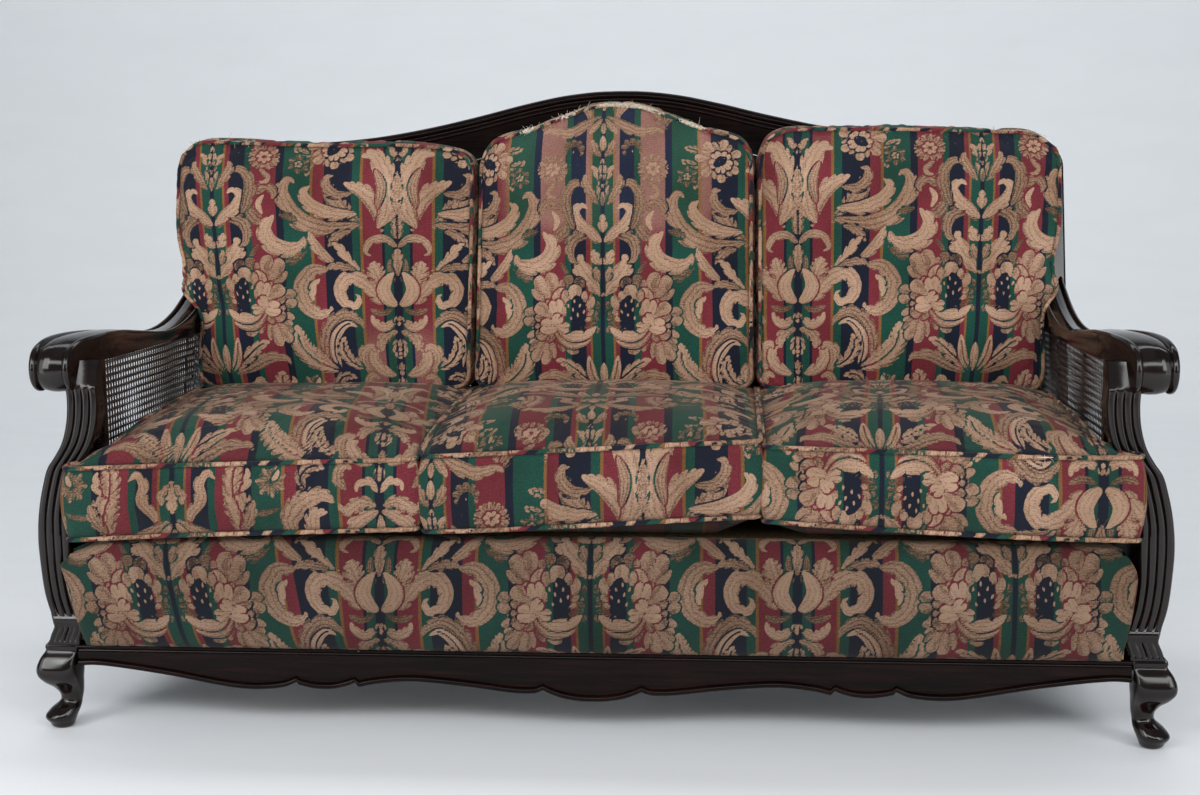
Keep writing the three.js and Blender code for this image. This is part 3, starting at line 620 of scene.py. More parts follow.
def fan_reach(points, line, drawn):
    """The same for a petal. Its rim stands at a radius that falls as a low power of a cosine towards the
    sides, notched between the lobes; depth inside is the radial one, corrected for the rim's slope."""
    axis = line[-1] - line[0]
    long = math.hypot(*axis)
    away = points - line[0]
    radius = np.hypot(away[:, 0], away[:, 1])
    turn = np.arctan2(axis[0] * away[:, 1] - axis[1] * away[:, 0], away @ axis)

    def lobes_at(share):
        return np.abs(np.sin(np.pi * drawn["lobes"] * (share + 1) / 2))

    def rim(angle):
        share = np.clip(angle / drawn["fan"], -1, 1)
        return long * np.cos(np.pi / 2 * share) ** 0.36 * (1 - 0.15 * (1 - lobes_at(share)) ** 2)

    edge, across = rim(turn), np.clip(turn / drawn["fan"], -1, 1)
    vein = lobes_at(across) * radius * 2 * drawn["fan"] / (np.pi * drawn["lobes"])
    vein = vein + 0.5 + 9 * np.maximum(0.62 - radius / long, 0)
    slope = (rim(turn + 0.02) - rim(turn - 0.02)) / 0.04
    reach = (edge - radius) / np.minimum(np.sqrt(1 + (slope / np.maximum(edge, 0.2 * long)) ** 2), 1.8)
    beyond = np.abs(turn) - drawn["fan"]
    aside = radius * np.sin(np.clip(beyond, 0, np.pi / 2)) + np.maximum(radius - 0.3 * long, 0)
    reach = np.where(beyond > 0, -aside, reach)
    vein = np.where(drawn["lobes"] > 1, vein, NO_VEIN)
    return reach, vein, across, np.clip(radius / long, 0, 1)


def weave_figure():
    """The figure sampled on a lattice over one half repeat: rows up the cloth, columns from axis A to axis B.
    The three values are the distance inside the figure, the place across its leaf, and how pale it is."""
    u = np.arange(0, HALF_REPEAT + LATTICE, LATTICE)
    v = np.arange(REPEAT_FOOT, REPEAT_FOOT + REPEAT_TALL, LATTICE)
    inside = np.full((len(v), len(u)), PLAIN)
    across = np.zeros_like(inside)
    tone = np.zeros_like(inside)
    for drawn in (*AXIS_B, *GREEN_STRIPE, *WINE_STRIPE, *AXIS_A, *PEONY):
        line = curve(drawn["spine"], 22)
        room = drawn["wide"] + 8
        for turn, shift in ((1, 0), (-1, 0), (-1, 2 * HALF_REPEAT)):
            for lift in (-REPEAT_TALL, 0, REPEAT_TALL):
                copy = line * [turn, 1] + [shift, lift]
                low, high = copy.min(0) - room, copy.max(0) + room
                i = np.flatnonzero((v >= low[1]) & (v <= high[1]))
                j = np.flatnonzero((u >= low[0]) & (u <= high[0]))
                if not len(i) or not len(j):
                    continue
                window = np.ix_(i, j)
                points = np.stack(np.meshgrid(u[j], v[i]), -1).reshape(-1, 2)
                shaped = fan_reach if "fan" in drawn else leaf_reach
                reach, vein, over, along = shaped(points, copy, {**drawn, "sides": drawn["sides"] * turn})
                shape = (len(i), len(j))
                reach, vein, over, along = (x.reshape(shape) for x in (reach, vein, over, along))
                old = inside[window]
                if drawn["cut"]:
                    inside[window] = np.minimum(old, -reach)
                    continue
                on = reach > 0
                beside = np.where(old > 0, np.minimum(old, -reach), np.maximum(old, reach))
                inside[window] = np.where(on, np.minimum(reach, vein), beside)
                across[window] = np.where(on, over, across[window])
                pale = drawn["tone"] + 0.3 * (along - 0.45) - 0.25 * (over**2 - 0.4)
                tone[window] = np.where(on, pale, tone[window])
    return coords(inside, across, tone)


FIGURE = weave_figure()


def figure_at(u, v):
    """The woven figure at places on the cloth in millimetres from axis A and from the peonies' middle."""
    u = np.abs((np.asarray(u, float) + HALF_REPEAT) % (2 * HALF_REPEAT) - HALF_REPEAT) / LATTICE
    v = ((np.asarray(v, float) - REPEAT_FOOT) % REPEAT_TALL) / LATTICE
    i, j = np.floor(v).astype(int), np.floor(u).astype(int)
    s, t = (v - i)[..., None], (u - j)[..., None]
    i, j = i % FIGURE.shape[0], np.minimum(j, FIGURE.shape[1] - 2)
    above = (i + 1) % FIGURE.shape[0]
    low = FIGURE[i, j] * (1 - t) + FIGURE[i, j + 1] * t
    high = FIGURE[above, j] * (1 - t) + FIGURE[above, j + 1] * t
    return low * (1 - s) + high * s


# ---- finishes ----
FADED = {"navy": "#232C48", "green": "#2A5A49", "gold": "#A87C52", "wine": "#B07F74"}


def jacquard_look(dyes):
    """Woven cotton jacquard: dyed warp stripes under a tan floating weft. Matt, with a short fuzzy sheen; the
    eye sees slubs across the cloth and fine streaks along each petal."""
    look = new_look("jacquard_cotton")
    cloth = node(look, "UVMap", uv_map="cloth").outputs["UV"]
    place_uv = node(look, "SeparateXYZ", {"Vector": cloth})
    slub = noise(look, stretched(look, cloth, (90, 650, 1)), 1.0, 3)  # slubs 11 mm long, 1.5 mm tall
    thread = noise(look, stretched(look, cloth, (520, 700, 1)), 1.0, 2)  # drawn 2 mm wide so that they show
    soil = noise(look, cloth, 7, 3)
    from_axis = sums(look, "PINGPONG", place_uv.outputs["X"], HALF_REPEAT * MM)
    at = sums(look, "DIVIDE", from_axis, HALF_REPEAT * MM)
    at = sums(look, "ADD", at, steps(look, thread, 0.3, 0.7, -0.002, 0.002))
    fresh = ramp(look, at, [(u / HALF_REPEAT, (*getattr(dyes, c), 1)) for u, c in STRIPES], "CONSTANT")
    faded = ramp(look, at, [(u / HALF_REPEAT, FADED[c]) for u, c in STRIPES], "CONSTANT")
    worn = node(look, "Attribute", attribute_name="worn").outputs["Fac"]
    # painted shade: values below zero darken the cloth, beside the seams and over the seat and border covers
    painted_darkening = steps(look, worn, -1.0, -0.05, 0.12, 1.0)
    # values above zero are wear, which fades the dyes
    worn = steps(look, sums(look, "ADD", worn, steps(look, thread, 0.3, 0.7, -0.22, 0.22)), 0.25, 0.75)
    ground = mixed(look, worn, fresh, faded)
    weave = node(look, "Attribute", attribute_name="weave").outputs["Vector"]
    weave = node(look, "SeparateXYZ", {"Vector": weave}).outputs
    inside = sums(look, "ADD", weave["X"], steps(look, thread, 0.25, 0.75, -0.45, 0.45))
    figure = steps(look, inside, 1.35, 1.85)
    # streaks that follow each leaf
    waver = steps(look, noise(look, cloth, 60, 2), 0.2, 0.8, -2.0, 2.0)
    streak = sums(look, "SINE", sums(look, "ADD", sums(look, "MULTIPLY", weave["Y"], 11.0), waver))
    streak = steps(look, sums(look, "MULTIPLY", streak, steps(look, thread, 0.3, 0.6)), 0.15, 0.8)
    pale = sums(look, "SUBTRACT", weave["Z"], sums(look, "MULTIPLY", streak, 0.38))
    pale = sums(look, "ADD", pale, steps(look, slub, 0.25, 0.75, -0.24, 0.24))
    heather = noise(look, stretched(look, cloth, (330, 420, 1)), 1.0, 2)  # flecks 3 mm long
    pale = sums(look, "ADD", pale, steps(look, heather, 0.3, 0.7, -0.3, 0.3))
    tan = ramp(look, pale, [(0.0, "#5A4334"), (0.25, "#80634D"), (0.6, "#AA8770"), (1.0, "#C9A68C")])
    # where the weave is thin, the stripes show between the streaks
    thin = sums(look, "MULTIPLY", streak, steps(look, weave["Z"], 0.75, 0.15, 0.0, 0.85))
    figure = sums(look, "MULTIPLY", figure, sums(look, "SUBTRACT", 1.0, thin))
    ground = mixed(look, 1.0, ground, ramp(look, slub, [(0.25, 0.66), (0.75, 1.0)]), "MULTIPLY")
    ground = mixed(look, 1.0, ground, ramp(look, heather, [(0.3, 0.72), (0.7, 1.18)]), "MULTIPLY")
    colour = mixed(look, figure, ground, tan)
    colour = mixed(look, 1.0, colour, ramp(look, soil, [(0.3, "#C9C2BA"), (0.7, "#FFFFFF")]), "MULTIPLY")
    # the painted shade multiplied into the colour
    colour = mixed(look, 1.0, colour, painted_darkening, "MULTIPLY")
    high = sums(look, "ADD", sums(look, "MULTIPLY", figure, 0.5), sums(look, "MULTIPLY", slub, 0.6))
    high = sums(look, "ADD", high, sums(look, "MULTIPLY", thread, 0.7))
    finish_look(
        look, high, 0.0006, Base_Color=colour, Roughness=0.88, Specular_IOR_Level=0.25,
        Sheen_Weight=0.12, Sheen_Roughness=0.5, Sheen_Tint=linear("#CDBBA8"),
    )  # fmt: skip


def mahogany_look(name, polish, gloss):
    """French-polished mahogany, stained almost black: a hard clear gloss over red-brown pores, with rubbed
    patches and a few pale chips. The carved and reeded pieces keep more gloss than the flat boards."""
    look = new_look(name)
    where = node(look, "TexCoord").outputs["Object"]
    grain = noise(look, stretched(look, where, (9, 160, 160)), 1.0, 4)  # pores about 6 mm apart, 100 mm long
    cloud = noise(look, where, 6, 3)
    colour = ramp(look, grain, [(0.3, "#080404"), (0.6, (*polish, 1)), (0.85, "#24100B")])
    colour = mixed(look, steps(look, cloud, 0.55, 0.8, 0.0, 0.3), colour, linear("#341610"))
    chips = steps(look, noise(look, where, 130, 1), 0.835, 0.85)
    colour = mixed(look, chips, colour, linear("#8A7A68"))
    dull = steps(look, noise(look, where, 14, 4), 0.3, 0.75, 0.1, 0.22)
    finish_look(look, grain, 0.00005, Base_Color=colour, Roughness=dull, Specular_IOR_Level=gloss)


def cane_look():
    """Split rattan cane, stained dark: a hard shiny skin in thin flat strands, paler where the stain has
    faded.
    """
    look = new_look("stained_rattan_cane")
    where = node(look, "TexCoord").outputs["Object"]
    patch = noise(look, where, 40, 3)
    colour = ramp(look, patch, [(0.3, "#150C07"), (0.6, "#2C1B10"), (0.8, "#4A2E1A")])
    finish_look(look, patch, 0.0002, Base_Color=colour, Roughness=0.38, Coat_Weight=0.2)


def plain_wood_look():
    """Planed beech, never finished: pale, short dark flecks along the grain, matt."""
    look = new_look("planed_beech")
    where = node(look, "TexCoord").outputs["Object"]
    fleck = noise(look, stretched(look, where, (40, 420, 420)), 1.0, 3)
    colour = ramp(look, fleck, [(0.3, "#7E6142"), (0.6, "#A5835B"), (0.8, "#B99A70")])
    finish_look(look, fleck, 0.0002, Base_Color=colour, Roughness=0.75)


def coarse_cloth_look(name, dark, pale, per_metre):
    """Plain-woven coarse cloth: crossing yarns at the given count per metre, dark between them."""
    look = new_look(name)
    where = node(look, "TexCoord").outputs["Object"]
    axes = node(look, "SeparateXYZ", {"Vector": where}).outputs
    across, along = (
        sums(look, "SINE", sums(look, "MULTIPLY", axes[k], 2 * math.pi * per_metre)) for k in ("X", "Y")
    )
    yarn = sums(look, "MULTIPLY", across, along)
    yarn = sums(look, "ADD", yarn, steps(look, noise(look, where, 180, 2), 0.3, 0.7, -0.5, 0.5))
    share = steps(look, yarn, -1.0, 1.0)
    colour = ramp(look, share, [(0.2, dark), (0.8, pale)])
    finish_look(look, share, 0.0006, Base_Color=colour, Roughness=0.95, Specular_IOR_Level=0.15)


def wire_look():
    """Drawn spring steel, dull and lightly browned with age."""
    look = new_look("drawn_spring_steel")
    where = node(look, "TexCoord").outputs["Object"]
    age = noise(look, where, 90, 3)
    colour = ramp(look, age, [(0.35, "#6E665C"), (0.7, "#4C3A2A")])
    rough = steps(look, age, 0.3, 0.7, 0.35, 0.7)
    finish_look(look, Base_Color=colour, Metallic=0.85, Roughness=rough)


def fray_look():
    """Bare cotton cord and broken weft, where the cover has frayed through: off-white, matt and hairy."""
    look = new_look("frayed_cotton")
    where = node(look, "TexCoord").outputs["Object"]
    dirt = noise(look, where, 220, 3)
    colour = ramp(look, dirt, [(0.3, "#9C8C76"), (0.6, "#CFC4B2"), (0.8, "#E3DCCF")])
    finish_look(look, dirt, 0.0004, Base_Color=colour, Roughness=0.95, Specular_IOR_Level=0.1)


def make_looks(dyes, wood):
    jacquard_look(dyes)
    mahogany_look("french_polished_mahogany", wood.polish, 0.42)
    mahogany_look("dulled_mahogany", wood.polish, 0.12)
    cane_look()
    plain_wood_look()
    coarse_cloth_look("jute_webbing", "#5A452C", "#A58A60", 260)
    coarse_cloth_look("hessian", "#6A5638", "#A8906A", 420)
    coarse_cloth_look("black_lining", "#0C0C0C", "#1E1D1C", 900)
    wire_look()
    fray_look()


# ---- cushions ----
def spread_matrix(coarse, fine):
    """Cubic (Catmull-Rom) weights that carry values from evenly spaced stations to a finer even spacing."""
    at = np.linspace(0, coarse - 1, fine)
    k = np.clip(np.floor(at).astype(int), 0, coarse - 2)
    t = at - k
    weights = [-t / 2 + t**2 - t**3 / 2, 1 - 2.5 * t**2 + 1.5 * t**3, t / 2 + 2 * t**2 - 1.5 * t**3,
               (t**3 - t**2) / 2]  # fmt: skip
    made = np.zeros((fine, coarse))
    for offset, weight in zip((-1, 0, 1, 2), weights):
        np.add.at(made, (np.arange(fine), np.clip(k + offset, 0, coarse - 1)), weight)
    return made


LUMP = 2.2  # height of the soft lumps in a cushion's face


def pucker(run, depth, reach):
    """Small gathers that the stitches pull into the cloth, fading over "reach" of the way in from a seam."""
    gathers = 0.7 * np.sin(run / 3.6) + 0.5 * np.sin(run / 5.9 + 1)
    return gathers * np.clip(depth / reach, 0, 1) * np.exp(-np.clip(depth / reach, 0, 8))


def once_round(lines):
    """Four side lines joined to one loop, each shared corner once."""
    return np.concatenate(
        [lines["front"][:-1], lines["right"][:-1], lines["back"][:0:-1], lines["left"][:0:-1]]
    )


class Pad:
    """A boxed cushion in its own axes: p across, q along, w through its thickness. Four side lines give its
    outline: front and back run along p, left and right along q, and they meet at the corners. "low" and
    "high" give w at the two seams as functions of p and q, "crown" is w at the top of the dome, and "floor"
    is w under the base. The walls swell by "bulge", and "inset" holds both seams in from the outline."""

    def __init__(self, sides, low, high, crown, floor, bulge=8.0, inset=(3.0, 3.0), square=3.2):
        self.sides = sides
        self.low, self.high, self.crown, self.floor = low, high, crown, floor
        self.bulge, self.inset, self.square = bulge, inset, square

    def lines(self, across, along):
        counts = {"front": across, "back": across, "left": along, "right": along}
        return {side: curve(self.sides[side], n) for side, n in counts.items()}

    def normals(self, lines):
        """Outward directions of the outline at the points of each side line."""
        loop = once_round(lines)
        run = np.roll(loop, -1, 0) - np.roll(loop, 1, 0)
        out = unit(coords(run[:, 1], -run[:, 0]))
        out = np.vstack([out, out[:1]])
        m, n = len(lines["front"]) - 1, len(lines["left"]) - 1
        return {
            "front": out[: m + 1], "right": out[m : m + n + 1],
            "back": out[m + n : 2 * m + n + 1][::-1], "left": out[2 * m + n :][::-1],
        }  # fmt: skip

    def panels(self, across, along, tall, rings):
        """The panels as grids of (p, q, w). The face is a patch blended from its four side lines, domed as a
        product of two flat-topped arches. The walls bulge as half a sine. The base runs in to its middle."""
        lines = self.lines(across, along)
        outward = self.normals(lines)
        seam = {s: lines[s] - outward[s] * self.inset[1] for s in lines}
        foot = {s: lines[s] - outward[s] * self.inset[0] for s in lines}
        a = np.linspace(0, 1, across)[None, :, None]
        b = np.linspace(0, 1, along)[:, None, None]
        flat = (
            (1 - b) * seam["front"][None] + b * seam["back"][None]
            + (1 - a) * seam["left"][:, None] + a * seam["right"][:, None]
            - (1 - a) * (1 - b) * seam["front"][0] - a * (1 - b) * seam["front"][-1]
            - (1 - a) * b * seam["back"][0] - a * b * seam["back"][-1]
        )  # fmt: skip
        arch = (1 - np.abs(2 * a - 1) ** self.square) * (1 - np.abs(2 * b - 1) ** self.square)
        seam_w = self.high(flat[..., 0], flat[..., 1])
        p, q = flat[..., 0], flat[..., 1]
        lumps = LUMP * (np.sin(p / 71 + 1) * np.sin(q / 58) + 0.4 * np.sin(p / 27))
        made = {"face": np.dstack([flat, seam_w + (self.crown - seam_w + lumps) * arch[..., 0] ** 0.75])}
        made["face"][..., 2] += pucker(flat[..., 0] + flat[..., 1], arch[..., 0], 0.06)
        middle = flat.mean((0, 1))
        for side in lines:
            h = np.linspace(0, 1, tall)[:, None, None]
            lean = foot[side] * (1 - h) + seam[side] * h
            run = lines[side].sum(1)[None, :, None]
            swell = self.bulge * (1 + 0.16 * np.sin(run / 41 + 2) + 0.09 * np.sin(run / 17))
            arch = np.sin(np.pi * h)
            lean = lean + outward[side] * (swell * arch**0.8 + pucker(run, arch, 0.35))
            low = self.low(foot[side][:, 0], foot[side][:, 1])
            high = self.high(seam[side][:, 0], seam[side][:, 1])
            w = low * (1 - h[..., 0]) + high * h[..., 0]
            made[side] = np.dstack([lean, w])
            r = np.linspace(0, 1, rings)[:, None, None]
            base = foot[side] * (1 - r) + middle * r
            drop = low + (self.floor - low) * smoothstep(0, 0.12, r[..., 0])
            made["base_" + side] = np.dstack([base, drop])
        return made


def settle(pad, to_depth, pressure, cap, slack):
    """Fills a coarse copy of the pad with Cloth pressure, its seams and base held, and returns how far each
    station of each panel moved, in millimetres, no further than cap."""
    panels = pad.panels(*COARSE)
    stacked = np.concatenate([panel.reshape(-1, 3) for panel in panels.values()])
    faces, held, count = [], [], 0
    for k, panel in panels.items():
        rows, columns = panel.shape[:2]
        faces.append(grid_faces(rows, columns) + count)
        mark = np.full((rows, columns), k.startswith("base_"))
        if k != "face":
            mark[[0, -1]] = True
        held.append(mark.ravel())
        count += rows * columns
    points, quads, _, joined = weld(place(to_depth(stacked)), np.concatenate(faces))
    fixed = np.zeros(len(points), bool)
    np.logical_or.at(fixed, joined, np.concatenate(held))
    mesh = bpy.data.meshes.new("filling")
    corners = [list(dict.fromkeys(quad)) for quad in quads.tolist()]
    mesh.from_pydata(points.tolist(), [], [face for face in corners if len(face) > 2])
    bag = bpy.data.objects.new("filling", mesh)
    bpy.context.scene.collection.objects.link(bag)
    outward_faces(mesh)
    group = bag.vertex_groups.new(name="sewn")
    group.add(np.flatnonzero(fixed).tolist(), 1.0, "REPLACE")
    cloth = bag.modifiers.new("cloth", "CLOTH")
    settings = cloth.settings
    settings.quality = 4
    settings.mass = 0.2
    settings.tension_stiffness = 14
    settings.compression_stiffness = 8
    settings.bending_stiffness = 0.4
    settings.vertex_group_mass = "sewn"
    settings.shrink_min = -slack
    settings.use_pressure = True
    settings.uniform_pressure_force = pressure
    settings.effector_weights.gravity = 0
    cloth.point_cache.frame_start, cloth.point_cache.frame_end = 1, FILLING_STEPS
    for moment in range(1, FILLING_STEPS + 1):
        bpy.context.scene.frame_set(moment)
    shaped = bag.evaluated_get(bpy.context.evaluated_depsgraph_get()).data
    moved = np.zeros(len(points) * 3, np.float32)
    shaped.vertices.foreach_get("co", moved)
    shift = (moved.reshape(-1, 3) - points) / MM
    far = np.linalg.norm(shift, axis=1)
    shift *= np.minimum(1, cap / np.maximum(far, 1e-6))[:, None]
    bpy.data.objects.remove(bag)
    bpy.data.meshes.remove(mesh)
    bpy.context.scene.frame_set(1)
    ends = np.cumsum([panel[..., 0].size for panel in panels.values()])[:-1]
    return {k: part.reshape(panels[k].shape) for k, part in zip(panels, np.split(shift[joined], ends))}


COARSE = (44, 40, 8, 5)  # stations across, along, up the wall and in the base, for the filling
FILLING_STEPS = 20
SEAM_DARKENING_REACH = 5.5  # how far the dirt and painted shade beside a seam reach
PROUD = 1.6  # how far the piping stands out of its seam
PIPING_STEP = 5.5  # between the rings of its cord
BIAS = 0.71  # how far the cloth runs both ways for each step along the cord

def painted_seam_shade_and_soil(k, panel):
    """Dirt and painted shade close to a panel's sewn edges, where the piping shades the cloth: 1 at the seam
    and fading over a few millimetres.
    """
    rows, columns = panel.shape[:2]
    tall = np.linalg.norm(panel[1] - panel[0], axis=-1).mean()
    wide = np.linalg.norm(panel[:, 1] - panel[:, 0], axis=-1).mean()
    i = np.minimum(np.arange(rows), rows - 1 - np.arange(rows))[:, None] * tall
    j = np.minimum(np.arange(columns), columns - 1 - np.arange(columns))[None] * wide
    near = np.minimum(i, j) if k == "face" else i
    return np.exp(-((near / SEAM_DARKENING_REACH) ** 1.5))


def cushion(name, pad, to_depth, cloth_at, fine, settings, worn):
    """A sewn cushion: the pad's panels on a fine grid, moved as its filled copy moved, with piping on both
    seams."""
    panels, moves = pad.panels(*fine), {}
    moves = settle(pad, to_depth, settings.pressure, settings.swell / MM, settings.slack)
    skin = Skin()
    for k, panel in panels.items():
        world = to_depth(panel)
        if moves:
            down, along = (spread_matrix(moves[k].shape[i], panel.shape[i]) for i in (0, 1))
            world = world + np.einsum("ri,ijk,cj->rck", down, moves[k], along)
        # a base has too few rings for the figure, so its stripes stand alone
        # wear, less the dirt and painted shade beside the seams
        wear_less_seam_shade = worn(k, panel) - painted_seam_shade_and_soil(k, panel)
        skin.add(world, cloth=cloth_at(k, panel), worn=wear_less_seam_shade, plain=k.startswith("base_"))
    piece = skin.make(name + "_cover", "jacquard_cotton", [name], "jacquard")
    away = once_round(pad.normals(pad.lines(*fine[:2])))
    for end, label in ((-1, "face"), (0, "base")):
        edge = once_round({side: panels[side][end] for side in pad.sides})
        lift = np.full((len(away), 1), PROUD / 2 if end else 0.0)
        loop = to_depth(edge + np.hstack([PROUD * away, lift]))
        SEAMS[f"{name}_{label}"] = loop
        piping(f"{name}_{label}_piping", loop, bpy.context.scene.sofa_cloth.piping / MM)


def round_tube(line, run, size):
    """Rings of eight points round a line: "run" is its direction, and "size" the radius at each point."""
    up = unit(np.cross(run, np.cross([0.0, 0.2, 1.0], run)))
    turn = np.linspace(0, 2 * np.pi, 9)[None, :-1, None]
    return line[:, None] + size * (np.cos(turn) * up[:, None] + np.sin(turn) * np.cross(run, up)[:, None])


def piping(name, loop, radius):
    """Covered cord round a seam: a round section carried along the loop. Its cover is cut on the bias, so its
    stripes cross it at 45 degrees."""
    line = np.vstack([loop, loop[:1]])
    length = np.linalg.norm(np.diff(line, axis=0), axis=1).sum()
    line = evenly(line, int(length / PIPING_STEP))[:-1]
    s = np.arange(len(line)) * length / len(line)
    swell = radius * (1 + 0.06 * np.sin(s * 0.9) + 0.05 * np.sin(s * 0.23 + 1))[:, None, None]
    tube = round_tube(line, unit(np.roll(line, -1, 0) - np.roll(line, 1, 0)), swell)
    bias = BIAS * s[:, None] + radius * np.linspace(-2, 2, 8)[None]
    cloth = coords(bias, BIAS * s[:, None] + 120)
    tube = np.concatenate([tube, tube[:1]])
    cloth = np.concatenate([cloth, cloth[-1:] + [4, 4]])
    Skin().add(tube, True, cloth).make(name, "jacquard_cotton", slot="jacquard")


# ---- show wood ----
LEG_AT = (876.0, 25.0)  # middle of the front leg's top block: x and depth
LEG_STATIONS = [
    # height, half width, outward shift, squareness of the section
    (0, 14, 9, 2), (3, 18, 9.5, 2), (9, 21, 10, 2), (19, 26, 11, 2), (31, 24, 5, 2), (43, 17.5, -2, 2.2),
    (54, 18, -3, 2.5), (67, 22, 0, 3), (80, 29, 6, 3.4), (92, 33, 9, 4), (105, 33, 9, 5), (120, 30, 6, 7),
    (134, 27, 0, 12), (138, 28, 0, 12), (143, 27, 0, 12),
]  # fmt: skip
APRON_THICK = 24.0
APRON_EDGE = [
    # half of the lower edge from the leg to the middle, as (x, height) runs that meet in cusps
    [(848.7, 107), (818, 108), (711, 95), (584, 73.5), (541, 72), (502, 77), (484, 85)],
    [(480, 80), (456, 75), (426, 74.5), (400, 80), (388, 85)],
    [(381, 78), (360, 83), (300, 89), (213, 83), (120, 72.5), (90, 73.5), (80, 78)],
    [(72, 74), (50, 66), (20, 61), (0, 60.5)],
]
APRON_FACE = [
    # distance in from the edge and depth: a round bead, a quirk beside it and the flat field
    (0, 5), (0.6, 2.2), (2.2, 0.6), (4.5, 0), (7, 0.6), (8.6, 2.2), (9.4, 4.6), (11, 3.4), (13.5, 2.6),
    (18, 2.4),
]  # fmt: skip
POST_EDGE = [
    # height and outer x of the arm post
    (143.3, 899), (158, 894), (172, 888), (182, 887), (196, 892), (227, 900), (274, 905), (321, 907),
    (367, 903), (409, 894), (437, 885), (456, 872), (479, 859), (511, 850), (543, 847), (572, 848),
    (600, 848), (630, 848),
]  # fmt: skip
POST_WIDE = 50.0
POST_INNER = 854.5  # the inner face reaches at least in to here, where it meets the stile
REEDS = 4
REED_DEEP = 4.2
SIDE_REEDS = 3
COLLAR_TOP = 190.0
RING_AT, RING_HALF, RING_PROUD = 183.0, 7.0, 2.4  # the collar's ring: height, half its height, how far out
GADROONS = 6
LOBE_DEEP = 3.0
ARM_INNER = [(-40, 834), (-10, 832), (25, 823), (60, 812), (100, 805), (160, 803), (700, 803)]
ARM_OUTER = [(-40, 900), (0, 900), (50, 895), (100, 884), (150, 873), (250, 861), (400, 855), (700, 855)]
ARM_TOP = [
    # depth and height from the back post forward and round the scroll
    (584, 668), (531, 649), (464, 634), (400, 628), (340, 630), (234, 641), (148, 650), (70, 651), (20, 644),
    (-8, 630), (-20, 606), (-17, 582), (-3, 566), (15, 561), (33, 566),
]  # fmt: skip
ARM_HIGH_END = 704.0
ARM_ACROSS = [
    # share of the way across the arm, and how far the surface lies under its outline there
    (0, 8), (0.015, 4), (0.04, 1.6), (0.08, 0.6), (0.13, 1.2), (0.165, 3.2), (0.185, 4.6), (0.22, 3.4),
    (0.3, 1.6), (0.45, 0.2), (0.6, 0.6), (0.75, 3), (0.8, 5.4), (0.82, 5.6), (0.845, 2.4), (0.88, 1),
    (0.93, 1.2), (0.97, 3.5), (1, 9),
]  # fmt: skip
CREST_HALF = [
    # half of the crest's top outline, as x and height
    (0, 1067), (50, 1065.5), (120, 1057), (200, 1040), (280, 1020), (384, 997), (480, 981), (560, 973),
    (660, 968), (740, 967), (805, 963), (842, 950), (858, 925), (860, 886),
]  # fmt: skip
CREST_THICK = 32.0
CREST_FACE = [
    # distance in from the top edge and depth: a rounded edge, a hollow, a bead and the flat field
    (0, 9), (0.8, 4.5), (3, 1.6), (7, 0.2), (11, 0.6), (13.5, 3), (15, 6.5), (17.5, 7.2), (20, 5.4),
    (22, 3.6), (24.5, 3.2), (27, 4.4), (28.5, 6), (32, 5), (38, 4.4),
]  # fmt: skip
ROUND = 5.0  # radius of the back post's corners
POST_MIDDLE = [(0, 672), (60, 644), (140, 606), (190, 584), (240, 564.5)]


def front_leg():
    """Rings up the leg. Each is a superellipse, and its size, squareness and shift outward along the diagonal
    follow one smooth line through the stations."""
    z, half, out, square = curve(LEG_STATIONS, 64).T[:, :, None]
    turn = np.linspace(0, 2 * np.pi, 41)[None, :-1] + np.pi / 40
    power = 2 / square
    across, deep = (half * np.sign(f) * np.abs(f) ** power for f in (np.cos(turn), np.sin(turn)))
    x = LEG_AT[0] + out + across
    return Skin().tube(coords(x, LEG_AT[1] - out + deep, z))


def apron():
    """A board carried across x: from its swagged lower edge up the moulded front face, and a plain back."""
    half = np.concatenate([curve(run, max(6, int(abs(run[0][0] - run[-1][0]) / 6))) for run in APRON_EDGE])
    half = half[:-1][half[:-1, 0] < 848.8]
    edge = np.concatenate([half * [-1, 1], [[0, 60.5]], half[::-1]])
    face = np.array(APRON_FACE)
    x, foot = edge[:, :1], edge[:, 1:]
    up = foot + face[:, 0]
    down = RAIL_TOP - face[::-1, 0] * 0.8 + 0 * foot
    deep = np.concatenate([face[:, 1], face[::-1, 1]]) + 0 * foot
    z = np.concatenate([up, down, RAIL_TOP + 0 * foot, foot + 0 * foot], 1)
    deep = np.concatenate([deep, APRON_THICK + 0 * foot, APRON_THICK + 0 * foot], 1)
    return Skin().tube(coords(x, deep, z)[:, ::-1])


def half_rounds(share, count):
    """How deep a row of half-round reeds lies at a share of the way across: 0 on a crest, 1 in a valley."""
    return 1 - np.sqrt(1 - (2 * ((share * count) % 1) - 1) ** 2 * 0.999)


